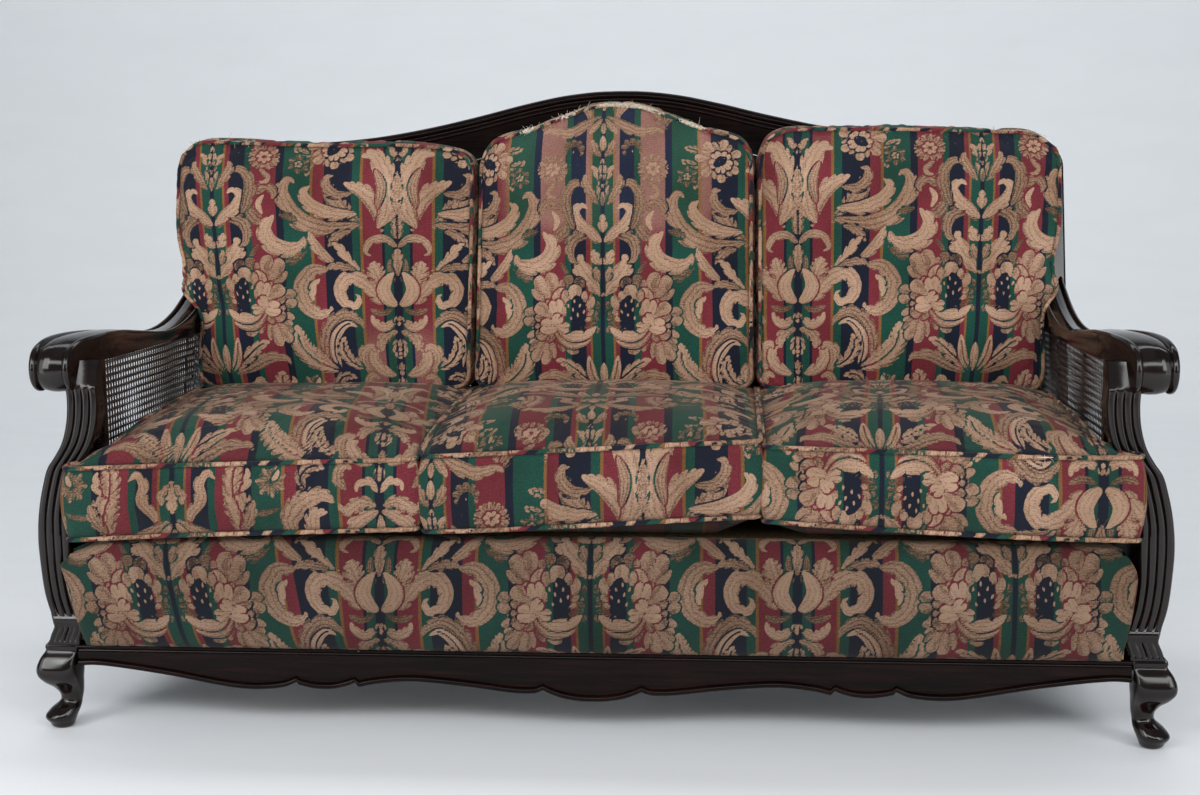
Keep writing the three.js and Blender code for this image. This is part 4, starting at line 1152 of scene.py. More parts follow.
def arm_post():
    """Rings up the bowed post. The front face is a row of half-round reeds; below them the collar has a
    half-round ring, then lobes that spread to the foot. Above the reeds the inner corner turns back to follow
    the arm."""
    z = np.concatenate([np.linspace(143.3, 196, 34), np.linspace(199, 560, 80), np.linspace(563, 612, 16)])
    outer = graph(POST_EDGE, z)[:, None]
    wide = POST_WIDE + np.maximum(COLLAR_TOP - z, 0)[:, None] * 0.06
    wide = np.maximum(wide, outer - POST_INNER)
    z = z[:, None]
    across = np.linspace(0, 1, 8 * REEDS + 1)[None]
    reed_here = smoothstep(190, 198, z) * (1 - smoothstep(558, 574, z))
    lobe_here = smoothstep(146, 151, z) * (1 - smoothstep(171, 176, z))
    ring = RING_PROUD * np.sqrt(np.clip(1 - ((z - RING_AT) / RING_HALF) ** 2, 0, 1))
    turn = 42 * np.clip((z - 570) / 60, 0, 1)  # how far the inner corner goes back under the arm
    front = REED_DEEP * half_rounds(across, REEDS) * reed_here
    front = front + LOBE_DEEP * half_rounds(across, GADROONS) * lobe_here - ring + turn * (1 - across)
    front += 1.5 * smoothstep(0.9, 1.0, np.abs(2 * across - 1)) * (1 - reed_here)
    x_front = outer - wide + wide * across
    down = np.linspace(0, 1, 17)[None, 1:]
    x_side = outer - 2.2 * half_rounds(down, SIDE_REEDS) * reed_here + ring * 0.8
    d_side = front[:, -1:] + (POST_DEEP - front[:, -1:]) * down
    x_back = outer - wide * np.array([[0.02, 0.5, 0.98, 1.0]])
    d_back = np.array([[POST_DEEP, POST_DEEP, POST_DEEP, POST_DEEP - 1]]) + 0 * z
    x_in = outer - wide - ring * 0.5 + 0 * d_back[:, :2]
    d_in = np.concatenate([0.6 * POST_DEEP + 0.4 * front[:, :1], 0.2 * POST_DEEP + 0.8 * front[:, :1]], 1)
    x = np.concatenate([x_front, x_side, x_back, x_in], 1)
    deep = np.concatenate([front, d_side, d_back, d_in], 1)
    return Skin().tube(coords(x, deep, z))


def arm_rail():
    """Sections along the arm from the back post round the scroll. Each runs across the moulded top, whose
    surface lies under the outline by a set profile, then down to the underside and back up the inner face."""
    upper = curve([(back_front(ARM_HIGH_END) - GAP, ARM_HIGH_END), *ARM_TOP], 130)
    s = np.linspace(0, 1, len(upper))
    run = unit(np.gradient(upper, axis=0))
    normal = coords(-run[:, 1], run[:, 0])
    at_post = s[np.argmax(upper[:, 0] < 62)]
    at_nose = s[np.argmin(upper[:, 0])]
    stations = [0, at_post, at_nose, 1]
    low_d = np.interp(s, stations, [back_front(ARM_UNDER) - GAP, 62, 44, 44])
    low_z = np.interp(s, stations, [ARM_UNDER, ARM_UNDER, 600, 578])
    share, under = np.array(ARM_ACROSS).T
    across = np.unique(np.concatenate([share, np.linspace(0.3, 0.75, 6)]))
    cut = np.interp(across, share, under)
    deep = upper[:, :1] + normal[:, :1] * cut
    z = upper[:, 1:] + normal[:, 1:] * cut
    inner, outer = graph(ARM_INNER, deep), graph(ARM_OUTER, deep)
    x = inner + (outer - inner) * across
    top = coords(x, deep, z)
    low_in, low_out = graph(ARM_INNER, low_d), graph(ARM_OUTER, low_d)

    def under_at(share):
        return coords(low_in + (low_out - low_in) * share, low_d, low_z)

    def between_edges(first, last):
        """Two rows of points, a third and two thirds of the way."""
        share = np.array([[[0.33], [0.67]]])
        return first[:, None] * share[:, ::-1] + last[:, None] * share

    foot = np.stack([under_at(share) for share in (0.97, 0.5, 0.03)], 1)
    outside = between_edges(top[:, -1], under_at(1))
    inside = between_edges(under_at(0), top[:, 0])
    return Skin().tube(np.concatenate([top, outside, foot, inside], 1))


CREST_ARCH = 100.0  # rise of the arch under the crest
ARCH_HALF = 560.0


def crest_under(x):
    """Height of the crest's underside: a squared cosine over x."""
    return CREST_FOOT + CREST_ARCH * np.cos(np.minimum(np.abs(x) / ARCH_HALF, 1) * np.pi / 2) ** 2


def crest():
    """Sections along the camel-back top edge: in from the edge over the moulded face to the arched underside,
    and the plain back. All lean with the back."""
    half = curve(CREST_HALF, 120)
    edge = np.concatenate([half[:0:-1] * [-1, 1], half])
    run = unit(np.gradient(edge, axis=0))
    inward = coords(run[:, 1], -run[:, 0])
    room = np.clip((CREST_FOOT + 40 - edge[:, 1:]) / -60, 0, 1)  # the mould fades where the end runs down
    face = np.array(CREST_FACE)
    into = face[:, 0] * (0.25 + 0.75 * room)
    points = edge[:, None] + inward[:, None] * into[..., None]
    behind = face[:, 1] + 0 * into
    last = points[:, -1:, :]
    low = coords(last[..., 0], np.minimum(crest_under(last[..., 0]), last[..., 1]))
    rows = np.concatenate([points, low, low, edge[:, None] + inward[:, None] * 2], 1)
    back = np.array([[face[-1, 1], CREST_THICK, CREST_THICK]]) + 0 * edge[:, :1]
    behind = np.concatenate([behind, back], 1)
    ring = coords(rows[..., 0], back_front(rows[..., 1]) + behind, rows[..., 1])
    return Skin().tube(ring[:, ::-1])


def back_post():
    """Rings up the rear leg and back post: a round-cornered rectangle moved along its curved middle line."""
    z = np.concatenate([np.linspace(0, 260, 40), np.linspace(280, CREST_FOOT + 2, 14)])[:, None]
    middle = np.where(z < RAKE_FROM, graph(POST_MIDDLE, z), back_front(z) + 18)
    half = np.where(z < 60, 15 + z / 20, 18)
    turn = (np.arange(4)[:, None] * 90 + np.linspace(0, 90, 6)[None]).ravel() * np.pi / 180
    corner = np.repeat([[1, 1], [-1, 1], [-1, -1], [1, -1]], 6, 0)
    wide = (SIDE_OUT - SIDE_IN) / 2
    x = (SIDE_OUT + SIDE_IN) / 2 + corner[:, 0] * (wide - ROUND) + ROUND * np.cos(turn)
    deep = middle + corner[:, 1] * (half - ROUND) + ROUND * np.sin(turn)
    return Skin().tube(coords(x, deep, z))


def make_show_frame():
    makers = {"front_leg": front_leg, "arm_post": arm_post, "arm_rail": arm_rail, "back_post": back_post}
    for name, maker in makers.items():
        for side in ("right", "left"):
            skin = maker() if side == "right" else maker().mirrored()
            skin.make(f"{side}_{name}_carved", "french_polished_mahogany", [f"{side}_{name}"], sharp=50)
    for name, maker in {"front_apron": apron, "crest_rail": crest}.items():
        maker().make(f"{name}_carved", "dulled_mahogany", [name], sharp=50)


# ---- plain pieces of the frame: their shapes stand as they are, with eased edges ----
PLAIN_PIECES = {
    "dulled_mahogany": ["arm_stile", "back_muntin", "side_apron", "back_lower_rail", "rear_seat_rail"],
    "planed_beech": ["side_rail", "cross_rail", "corner_block", "front_seat_rail"],
    "jute_webbing": ["webbing_"],
    "drawn_spring_steel": ["coil_spring_"],
}


def dress_frame(edge):
    """Gives each kept piece its finish, and rounds the edges of the wooden ones."""
    for look, names in PLAIN_PIECES.items():
        for title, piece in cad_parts.items():
            if not any(name in title for name in names):
                continue
            if not piece.material_slots:
                piece.data.materials.append(LOOK[look])
            for held in piece.material_slots:
                held.material = LOOK[look]
            if look in ("dulled_mahogany", "planed_beech"):
                merge = piece.modifiers.new("merge", "WELD")
                merge.merge_threshold = 1e-5
                ease = piece.modifiers.new("edges", "BEVEL")
                ease.width, ease.segments, ease.limit_method = edge, 2, "ANGLE"
                ease.angle_limit = math.radians(40)


# ---- canework ----
MUNTIN_AT = 270.0
MUNTIN_HALF = 16.0
LOWER_RAIL_TOP = 345.0
CANE_BEHIND = 15.0  # behind the front plane of the back
SIDE_CANES = {"inner": 812.0, "outer": 843.0}
SIDE_CANE_CORNER = (60.0, 236.0)  # depth and height of the lower front corner
WEAVE = [
    # direction in degrees, layer, share of the strand's width, thickness
    (90, 0.5, 1.7, 0.5), (45, 0.1, 1.0, 0.2), (-45, -0.12, 1.0, 0.2), (0, -0.35, 0.8, 0.2),
]  # fmt: skip


def strands(outline, angle, offsets, wide, layer, thick):
    """Flat strands across a panel at one angle: each is a thin box from the first to the last crossing of its
    line with the panel's outline. Returns points (strands, 8, 3) as along, up and out of the panel."""
    a = math.radians(angle)
    along, normal = np.array([math.cos(a), math.sin(a)]), np.array([-math.sin(a), math.cos(a)])
    p, q = outline, np.roll(outline, -1, 0)
    rise = (q - p) @ normal
    rise = np.where(np.abs(rise) < 1e-9, 1e-9, rise)
    share = (offsets[:, None] - p @ normal) / rise
    t = (p[None] + share[..., None] * (q - p)[None]) @ along
    hit = (share >= 0) & (share <= 1)
    start = np.where(hit, t, np.inf).min(1)
    end = np.where(hit, t, -np.inf).max(1)
    good = end - start > 6
    start, end, offsets = start[good], end[good], offsets[good]
    t = coords(start, end).repeat(4, 1)
    s = offsets[:, None] + wide / 2 * np.array([[-1, 1, 1, -1] * 2])
    out = layer + thick / 2 * np.array([[-1, -1, 1, 1] * 2]) + 0 * s
    return coords(t * along[0] + s * normal[0], t * along[1] + s * normal[1], out)


def woven_panel(name, outline, to_depth, settings, replaces):
    """Six-way canework: pairs of strands up and across, and single ones on both diagonals through the gaps
    between the pairs. The layers lie one behind another, half a strand apart."""
    outline = np.asarray(outline, float)
    pitch, wide = settings.pitch / MM, settings.strand / MM
    low, high = outline.min(0), outline.max(0)
    made = []
    for angle, layer, share, thick in WEAVE:
        normal = np.array([-math.sin(math.radians(angle)), math.cos(math.radians(angle))])
        corners = np.array([low, high, [low[0], high[1]], [high[0], low[1]]]) @ normal
        step = pitch if angle in (0, 90) else pitch / math.sqrt(2)
        at = np.arange(math.floor(corners.min() / step), math.ceil(corners.max() / step)) * step
        if angle in (0, 90):
            at = np.sort(np.concatenate([at - 0.55 * share * wide, at + 0.55 * share * wide]))
        else:
            at = at + step / 2
        made.append(strands(outline, angle, at, share * wide, layer, thick))
    points = np.concatenate(made)
    box = np.array([[0, 1, 2, 3], [7, 6, 5, 4], [0, 4, 5, 1], [1, 5, 6, 2], [2, 6, 7, 3], [3, 7, 4, 0]])
    faces = (np.arange(len(points))[:, None, None] * 8 + box).reshape(-1, 4)
    flat = place(to_depth(points.reshape(-1, 3)))
    piece = write_mesh(name, flat, faces, LOOK["stained_rattan_cane"], smooth=False)
    outward_faces(piece.data)
    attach(piece, "root")
    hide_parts(replaces)


def make_canework(settings):
    def on_back(p):
        return coords(p[:, 0], back_front(p[:, 1]) + CANE_BEHIND + p[:, 2], p[:, 1])

    spans = {
        "back_cane_centre": (-MUNTIN_AT + MUNTIN_HALF, MUNTIN_AT - MUNTIN_HALF),
        "right_back_cane": (MUNTIN_AT + MUNTIN_HALF, SIDE_IN),
        "left_back_cane": (-SIDE_IN, -MUNTIN_AT - MUNTIN_HALF),
    }
    for name, (x0, x1) in spans.items():
        x = np.linspace(x1, x0, 13)
        top = coords(x, crest_under(x) + 2)
        outline = np.concatenate([[[x0, LOWER_RAIL_TOP], [x1, LOWER_RAIL_TOP]], top])
        woven_panel(name + "_woven", outline, on_back, settings, name)
    near, foot = SIDE_CANE_CORNER
    outline = [(near, foot), (back_front(foot), foot), (back_front(ARM_UNDER), ARM_UNDER), (near, ARM_UNDER)]
    for side, sign in (("right", 1), ("left", -1)):
        for layer, x in SIDE_CANES.items():

            def on_side(p, x=x, sign=sign):
                return coords(sign * (x + p[:, 2]), p[:, 0], p[:, 1])

            name = f"{side}_arm_cane_{layer}"
            woven_panel(name + "_woven", outline, on_side, settings, name)


# ---- hidden cloths and stuffing ----
PLATFORM_HALF = 799.0
PLATFORM = (44.3, 542.0)  # its front and back depth
STUFFING_FOOT, STUFFING_TOP, STUFFING_DOME = 284.2, 315.0, 7.0
HESSIAN_FOOT = 282.2


def slab(half, front, back, top, under, columns, rows):
    """A closed thin form: top and underside are heights over x and depth, joined round the edge."""
    x = np.linspace(-half, half, columns)[:, None]
    deep = np.linspace(front, back, rows)[None]
    upper = coords(x, deep, top(x, deep))
    lower = coords(x, deep, under(x, deep))
    return Skin().tube(np.concatenate([upper, lower[:, ::-1]], 1))


def ripple(x, deep, size):
    """The small waves of a cloth that is drawn over something uneven."""
    return size * (np.sin(x / 47 + 1) * np.sin(deep / 38) + 0.6 * np.sin(x / 19 + deep / 25))


def make_platform(fill):
    """The hessian over the springs, the stuffing on it and the black cloth tacked underneath."""
    front, back = PLATFORM

    def dome(x, deep):
        return np.sin(np.pi * (x / PLATFORM_HALF + 1) / 2) * np.sin(np.pi * (deep - front) / (back - front))

    def stuffed(x, deep):
        return STUFFING_TOP + STUFFING_DOME * dome(x, deep) ** 0.4 + ripple(x, deep, 0.9)

    stuffing = slab(PLATFORM_HALF, front, back, stuffed, lambda x, d: STUFFING_FOOT, 80, 34)
    stuffing.make("seat_stuffing_pad", "hessian", ["seat_stuffing"], "hessian")
    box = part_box("dust_cover")
    near, far = ((corner.y - FRONT) / MM for corner in box)
    sheets = [
        # name, look, what it replaces, slot, half width, front, back, underside, thickness, waves, held by
        ("spring_hessian_cloth", "hessian", "spring_hessian", "hessian", PLATFORM_HALF, front, back,
         HESSIAN_FOOT, 0.8, 0.2, "coil_spring_1_1"),
        ("dust_cover_cloth", "black_lining", "dust_cover", "lining", box[1].x / MM, near, far,
         box[0].z / MM + 0.5, 0.7, 0.15, "front_seat_rail"),
    ]  # fmt: skip
    for name, look, node_name, slot, half, near, far, under, thick, waves, holder in sheets:

        def surface(x, deep, height=under, waves=waves):
            return height + ripple(x, deep, waves)

        def upper(x, deep, height=under + thick, waves=waves):
            return height + ripple(x, deep, waves)

        piece = slab(half, near, far, upper, surface, 70, 28).make(name, look, [node_name], slot)


# ---- where the print lies on each piece ----
def axes_map(x, knots):
    """Place on the cloth across x, through (x, distance from axis A) knots and straight on past the ends."""
    at, u = np.array(knots, float).T
    inside = np.interp(x, at, u)
    first = (u[1] - u[0]) / (at[1] - at[0])
    last = (u[-1] - u[-2]) / (at[-1] - at[-2])
    return inside + np.minimum(x - at[0], 0) * first + np.maximum(x - at[-1], 0) * last


def between(x, axis_a, axis_b):
    """Distance from axis A on the cloth, where axis A and axis B of the print lie at these places."""
    return (x - axis_a) / (axis_b - axis_a) * HALF_REPEAT


BORDER_KNOTS = [(-675, 0), (-336, 331), (1, 662), (326, 993), (661, 1324)]
PATCHED_TO = -66.0  # the centre seat's boxing is joined here, and another part of the print lies to the left
SEAT_PRINT = {
    # top: u from x and depth, and v at the front seam. front: u and v from x and the drop below the seam
    "left": {
        "top": lambda x, d: between(x, -665 - 0.089 * d, -332 - 0.142 * d), "top_v": -146.0,
        "front": lambda x, drop: (between(x, -669, -332), -146 - drop),
    },
    "centre": {
        "top": lambda x, d: between(x, -0.037 * d, 335 - 0.037 * d), "top_v": 235.0,
        "front": lambda x, drop: (
            np.where(x > PATCHED_TO, between(x, -250, 85), 180 + (x - PATCHED_TO) * 0.985),
            262 - drop + np.where(x > PATCHED_TO, 0, 118),
        ),
    },
    "right": {
        "top": lambda x, d: between(x, 453 + 0.085 * d, 788 - 0.075 * d), "top_v": -146.0,
        "front": lambda x, drop: (between(x, 454, 788), -61 + drop),
    },
}  # fmt: skip
BACK_PRINT = {
    # u from x and height, and the height on the cushion of the peonies' middle
    "left": (lambda x, z: between(x, -744 - 0.1246 * (z - 617), -404 - 0.048 * (z - 617)), 177.0),
    "centre": (lambda x, z: between(x, -17 - 0.013 * (z - 599), 318 - 0.013 * (z - 599)), 142.0),
    "right": (lambda x, z: between(x, 672 + 0.055 * (z - 670), 346), 183.0),
}

# ---- front border ----
BORDER_ROLL = [
    # depth and height
    (-3, 143.3), (-12, 150), (-24, 176), (-28, 225), (-24, 282), (-8, 314), (16, 327), (34, 325), (44, 312),
]  # fmt: skip
BORDER_LEFT = [(143.3, -832), (170, -840), (210, -850), (260, -862), (291, -868), (303, -862), (327, -846)]
BORDER_RIGHT = [(143.3, 830), (180, 838), (220, 845), (288, 850), (316, 838), (327, 826)]
BORDER_END_ROLL = 26.0
# painted shade: how far below zero the whole border cover is darkened
BORDER_PAINTED_SHADE = -0.6
BORDER_FOOT, BORDER_TALL = 143.3, 184.0
BORDER_MIDDLE = 238.0  # height of the middle of the peonies on it
LAP = -1.5  # depth of the backs of its ends, just in front of the arm posts


def border():
    """A roll of cloth over stuffing: the roll's profile carried across, between a left and a right edge that
    are functions of height. Each end closes in a quarter ellipse, and the top slants down to its end."""
    roll = curve(BORDER_ROLL, 76)
    reach = np.concatenate([[0], np.cumsum(np.linalg.norm(np.diff(roll, axis=0), axis=1))])
    a = (1 - np.cos(np.linspace(0, np.pi, 25))) / 2 * 0.035
    a = np.concatenate([a, np.linspace(0.035, 0.965, 560)[1:-1], 1 - a[::-1]])[:, None]
    deep, z = roll[:, 0][None], roll[:, 1][None]
    left, right = graph(BORDER_LEFT, z), graph(BORDER_RIGHT, z)
    x = left + (right - left) * a
    end = np.minimum(x - left, right - x)
    full = np.sqrt(np.clip(1 - (1 - end / BORDER_END_ROLL) ** 2 * (end < BORDER_END_ROLL), 0, 1))
    lumps = 1.3 * np.sin(x / 61 + 0.8 * np.sin(z / 40)) * np.sin((z - RAIL_TOP) / BORDER_TALL * np.pi)
    lumps += 0.5 * np.sin(x / 23 + z / 31)
    drop = 26 * (1 - smoothstep(-868, -775, x)) + 13 * smoothstep(800, 850, x)
    drop = (z - BORDER_FOOT) / BORDER_TALL * drop
    front = LAP + (deep - lumps - LAP) * full
    face = coords(x, front, z - drop * smoothstep(250, 327, z))
    u = axes_map(x + 0.19 * (z - BORDER_MIDDLE) * (1 - smoothstep(-500, -330, x)), BORDER_KNOTS)
    v = reach[None] + BORDER_FOOT - BORDER_MIDDLE - 4 - 12 * (x / 868)
    rear, rear_z = np.array([(44, 240), (-1, 240), (-1, 143.4)], float).T  # the hidden back of the roll
    rear = LAP + (rear - LAP) * full[:, :1]
    hidden = coords(x[:, :1], rear, rear_z)
    grid = np.concatenate([face, hidden], 1)
    u = np.concatenate([u, np.repeat(u[:, -1:], 3, 1)], 1)
    v = np.concatenate([v, v[:, -1:] + np.array([[72, 117, 210]])], 1)
    # the whole cover darkened by painted shade
    skin = Skin().tube(grid, coords(u, v), BORDER_PAINTED_SHADE)
    skin.make("front_border_cover", "jacquard_cotton", ["front_border"], "jacquard")


def flipped(sides):
    """The outline of a left-hand pad from its right-hand drawing."""
    turn = {k: [(-x, y) for x, y in line] for k, line in sides.items()}
    front, back = turn["front"][::-1], turn["back"][::-1]
    return {"front": front, "right": turn["left"], "back": back, "left": turn["right"]}


def both_halves(front, right, back):
    """An outline that is the same left and right, from its right half: front and back run out from x = 0."""
    front, back = ([(-x, y) for x, y in half[:0:-1]] + half for half in (front, back))
    return {"front": front, "right": right, "back": back, "left": [(-x, y) for x, y in right]}


# ---- seat cushions: outlines in plan, x and depth ----
OUTER_SEAT = {
    "front": [(275, -17), (284, -21), (300, -22), (560, -22), (825, -22), (838, -22), (848, -19)],
    "right": [
        (848, -19), (852, -12), (846, -3), (834, 2), (828, 20), (818, 36), (802, 48), (799, 80), (799, 300),
        (799, 540), (795, 554),
    ],
    "back": [(275, 554), (288, 558), (560, 558), (782, 558), (795, 554)],
    "left": [(275, -17), (271, -6), (271, 20), (271, 530), (271, 545), (275, 554)],
}  # fmt: skip
CENTRE_SEAT = both_halves(
    front=[(0, -22), (240, -22), (256, -21), (265, -17)],
    right=[(265, -17), (269, -6), (269, 20), (269, 530), (269, 545), (265, 554)],
    back=[(0, 558), (252, 558), (265, 554)],
)
SEAT_HIGH = {
    # height of the upper seam along the front, over x
    "left": [(-855, 437), (-780, 441), (-560, 449), (-400, 454), (-273, 458)],
    "centre": [(-269, 462), (-150, 468), (0, 476), (150, 485), (269, 490)],
    "right": [(271, 481), (400, 477), (560, 472), (700, 467), (852, 468)],
}
SEAT_LOW = {
    "left": [(-855, 322), (-700, 331), (-500, 339), (-273, 347)],
    "centre": [(-269, 342), (-150, 347), (0, 356), (150, 366), (269, 373)],
    "right": [(271, 365), (400, 357), (560, 348), (700, 342), (852, 339)],
}
SEAT_CROWN = {"left": 507.0, "centre": 516.0, "right": 516.0}
SEAT_BACK_HIGH = 500.0
SEAT_BACK_LOW = 346.0
SEAT_FLOOR = 328.6
SEAT_FRONT = -22.0
SEAM_FADE = 170.0  # distance back in which the seams reach their heights behind
CROWN_RUN = 1.03  # how much further the cloth runs over the crown than its plan
SEAT_FINE = (206, 96, 42, 5)

# ---- back cushions: outlines seen from the front, x and height ----
RIGHT_BACK = {
    "front": [(281, 508), (291, 503), (310, 501), (540, 501), (765, 501), (782, 503), (791, 511)],
    "right": [
        (791, 511), (798, 530), (799, 640), (801, 700), (812, 724), (826, 764), (834, 810), (836, 870),
        (836, 922), (829, 946),
    ],
    "back": [(281, 953), (292, 972), (329, 986), (430, 988), (530, 987), (712, 981), (788, 974), (829, 946)],
    "left": [(281, 508), (272, 521), (272, 560), (272, 880), (273, 925), (281, 953)],
}  # fmt: skip
LEFT_BACK = {
    "front": RIGHT_BACK["front"],
    "right": [
        (791, 511), (798, 530), (799, 640), (803, 700), (826, 722), (846, 762), (855, 810), (857, 870),
        (857, 922), (850, 948),
    ],
    "back": [(278, 924), (290, 943), (328, 957), (404, 965), (560, 966), (732, 972), (818, 973), (850, 948)],
    "left": [(281, 508), (272, 521), (272, 560), (272, 860), (273, 900), (278, 924)],
}  # fmt: skip
CENTRE_BACK = both_halves(
    front=[(0, 501), (226, 501), (243, 503), (253, 508)],
    right=[(253, 508), (262, 521), (262, 560), (262, 880), (262, 920), (255, 946)],
    back=[(0, 1038), (45, 1034), (100, 1016), (162, 993), (238, 968), (255, 946)],
)
BACK_FOOT = 501.0
BACK_LOW, BACK_HIGH = 10.0, 98.0  # both seams, out from the back frame
ARM_MEETS, ARM_REACH = 690.0, 32.0  # height at which the outer ones meet the arms, and how far it tells
OVER_ARM = {"left": 0.05, "centre": 0.0, "right": 0.035}  # how far each spreads over the arm, a share of x
BACK_CROWN = 128.0
BACK_FINE = (186, 186, 26, 5)


def seat_pad(side):
    """A seat cushion, whose seams rise or fall from their heights in front to those behind, exponentially."""
    sides = {"left": flipped(OUTER_SEAT), "centre": CENTRE_SEAT, "right": OUTER_SEAT}[side]

    def seam(heights, rear):
        def at(x, deep):
            return rear + (graph(heights, x) - rear) * np.exp(-(deep - SEAT_FRONT) / SEAM_FADE)

        return at

    high, low = seam(SEAT_HIGH[side], SEAT_BACK_HIGH), seam(SEAT_LOW[side], SEAT_BACK_LOW)
    return Pad(sides, low, high, SEAT_CROWN[side], SEAT_FLOOR, bulge=10.0, inset=(4.0, 3.0))


def make_seat_cushions(settings):
    for side, print_here in SEAT_PRINT.items():

        def cloth_at(panel, p, where=print_here):
            x, deep = p[..., 0], p[..., 1]
            if panel == "face" or panel.startswith("base"):
                back = (deep - SEAT_FRONT) * CROWN_RUN
                return coords(where["top"](x, deep), where["top_v"] + back)
            drop = p[-1:, :, 2] - p[..., 2]
            if panel in ("front", "back"):
                return coords(*where["front"](x, drop))
            return coords(deep + 40, -146 - drop)

        def worn(panel, p, side=side):
            rear = smoothstep(330, 470, p[..., 1]) * 0.7
            edge = 0.35 * smoothstep(0.85, 1.0, np.linspace(0, 1, p.shape[0]))[:, None]
            # the 0.3 taken off everywhere is painted shade that darkens the whole seat cover
            return rear * (side == "right") + (edge if panel == "front" else 0) - 0.3

        cushion(f"{side}_seat_cushion", seat_pad(side), lambda p: p, cloth_at, SEAT_FINE, settings, worn)


def make_back_cushions(settings):
    outlines = {"left": flipped(LEFT_BACK), "centre": CENTRE_BACK, "right": RIGHT_BACK}
    for side, sides in outlines.items():
        across, foot_v = BACK_PRINT[side]
        pad = Pad(
            sides, lambda x, z: BACK_LOW + 0 * x, lambda x, z: BACK_HIGH + 0 * x, BACK_CROWN, 1.0,
            bulge=8.0, inset=(5.0, 5.5), square=3.6,
        )  # fmt: skip

        def spread_over_arm(p, spread=OVER_ARM[side]):
            """Gives x once the outer cushions have spread sideways over the arms, more towards the front."""
            x, z, w = p[..., 0], p[..., 1], p[..., 2]
            over_arm = np.exp(-(((z - ARM_MEETS) / ARM_REACH) ** 2)) * smoothstep(560, 800, np.abs(x))
            return x * (1 + spread * over_arm * np.clip(w / BACK_HIGH, 0, 1))

        def to_depth(p, spread_over_arm=spread_over_arm):
            """From (x, height, thickness) to (x, depth, height), on the leaning front of the back frame."""
            return coords(spread_over_arm(p), back_front(p[..., 1]) - 1 - p[..., 2], p[..., 1])

        def cloth_at(panel, p, across=across, foot_v=foot_v, spread_over_arm=spread_over_arm):
            x, z = spread_over_arm(p), p[..., 1]
            u, v = across(x, z), (z - BACK_FOOT) / math.cos(RAKE) - foot_v
            if panel in ("front", "back", "left", "right"):
                away = BACK_HIGH - p[..., 2]
                u = u + away * {"left": -1, "right": 1}.get(panel, 0)
                v = v + away * {"front": -1, "back": 1}.get(panel, 0)
            return coords(u, v)

        def worn(panel, p, side=side):
            x, z = p[..., 0], p[..., 1]
            if side == "centre":
                return smoothstep(745, 850, z) * (1 - smoothstep(150, 240, np.abs(x + 10)))
            if side == "left":
                return 0.6 * (1 - smoothstep(560, 680, z)) * (1 - smoothstep(60, 160, np.abs(x + 430)))
            return 0.35 * smoothstep(900, 980, z)

        cushion(f"{side}_back_cushion", pad, to_depth, cloth_at, BACK_FINE, settings, worn)


# ---- wear: bare cord and loose threads ----
def fibres(starts, rng, long, radius, lean):
    """Short bent hairs: each is a three-sided tube of four rings, curving from its start."""
    count = len(starts)
    heading = unit(rng.normal(size=(count, 3)) + lean)
    bend = rng.normal(size=(count, 3)) * 0.8 + [0, 0, -0.5]
    t = np.linspace(0, 1, 4)[None, :, None]
    length = long * rng.uniform(0.4, 1.3, (count, 1, 1))
    line = starts[:, None] + length * (heading[:, None] * t + bend[:, None] * t**2 * 0.5)
    turn = np.linspace(0, 2 * np.pi, 4)[:-1]
    ring = coords(np.cos(turn), 0.6 * np.sin(turn), np.sin(turn))
    return line[:, :, None] + radius * (1 - 0.6 * t[..., None]) * ring


def frayed_cord(name, line, radius, hairs, seed, long, lean):
    """A bare stretch of the piping's cord: a lumpy tube along the seam, with broken threads on it."""
    rng = np.random.default_rng(seed)
    count = max(6, int(np.linalg.norm(np.diff(line, axis=0), axis=1).sum() / 3))
    line = evenly(line, count)
    size = radius * (1 + 0.18 * rng.normal(size=(count, 8, 1)))
    taper = np.sin(np.pi * np.linspace(0.06, 0.94, count))[:, None, None] ** 0.3
    skin = Skin().tube(round_tube(line, unit(np.gradient(line, axis=0)), size * taper))
    picked = line[rng.integers(0, count, hairs)]
    for tube in fibres(picked, rng, long, THREAD_RADIUS, np.array(lean)):
        skin.tube(tube)
    skin.make(name, "frayed_cotton", slot="jacquard")


THREAD_RADIUS = 0.6
SEAMS = {}  # both seam loops of each cushion, once it is sewn
STANDING = (0, -0.6, 0.4)  # the lean of threads that stand out and up
FRAYS = {
    # cushion, x from and to, height and room about it, shift off the seam, cord radius, threads, seed,
    # their length and lean
    "centre_back_fray": ("centre_back", -34, 96, 1025, 60, (0, -0.6, 0.6), 4.9, 70, 3, 11, STANDING),
    "centre_back_tear_1": ("centre_back", -118, -72, 1010, 60, (0, -0.4, 0.8), 4.5, 30, 20, 9, STANDING),
    "centre_back_tear_2": ("centre_back", 118, 176, 1010, 60, (0, -0.4, 0.8), 4.5, 30, 21, 9, STANDING),
    "centre_back_tear_3": ("centre_back", -190, -150, 1010, 60, (0, -0.4, 0.8), 4.5, 30, 22, 9, STANDING),
    "centre_back_threads": ("centre_back", -220, 220, 1010, 60, (0, -0.5, 3.0), 1.0, 90, 4, 8, STANDING),
    "right_back_bare_cord": ("right_back", 505, 600, 505, 30, (0, -1.4, 1.0), 4.7, 8, 5, 6, STANDING),
    "right_back_fray": ("right_back", 700, 832, 975, 40, (0, 0, 2.6), 1.6, 60, 6, 8, (0.3, 0, 1.0)),
    "left_back_fray": ("left_back", -856, -700, 965, 40, (0, 0, 3.0), 1.0, 50, 7, 9, STANDING),
    "right_seat_fray": ("right_seat", 684, 714, 466, 30, (0, -3.0, 0.8), 1.2, 4, 8, 12, (0, -1, -0.8)),
}
SEAT_EDGE = 40.0  # only the front stretch of a seat cushion's seams lies in front of this depth


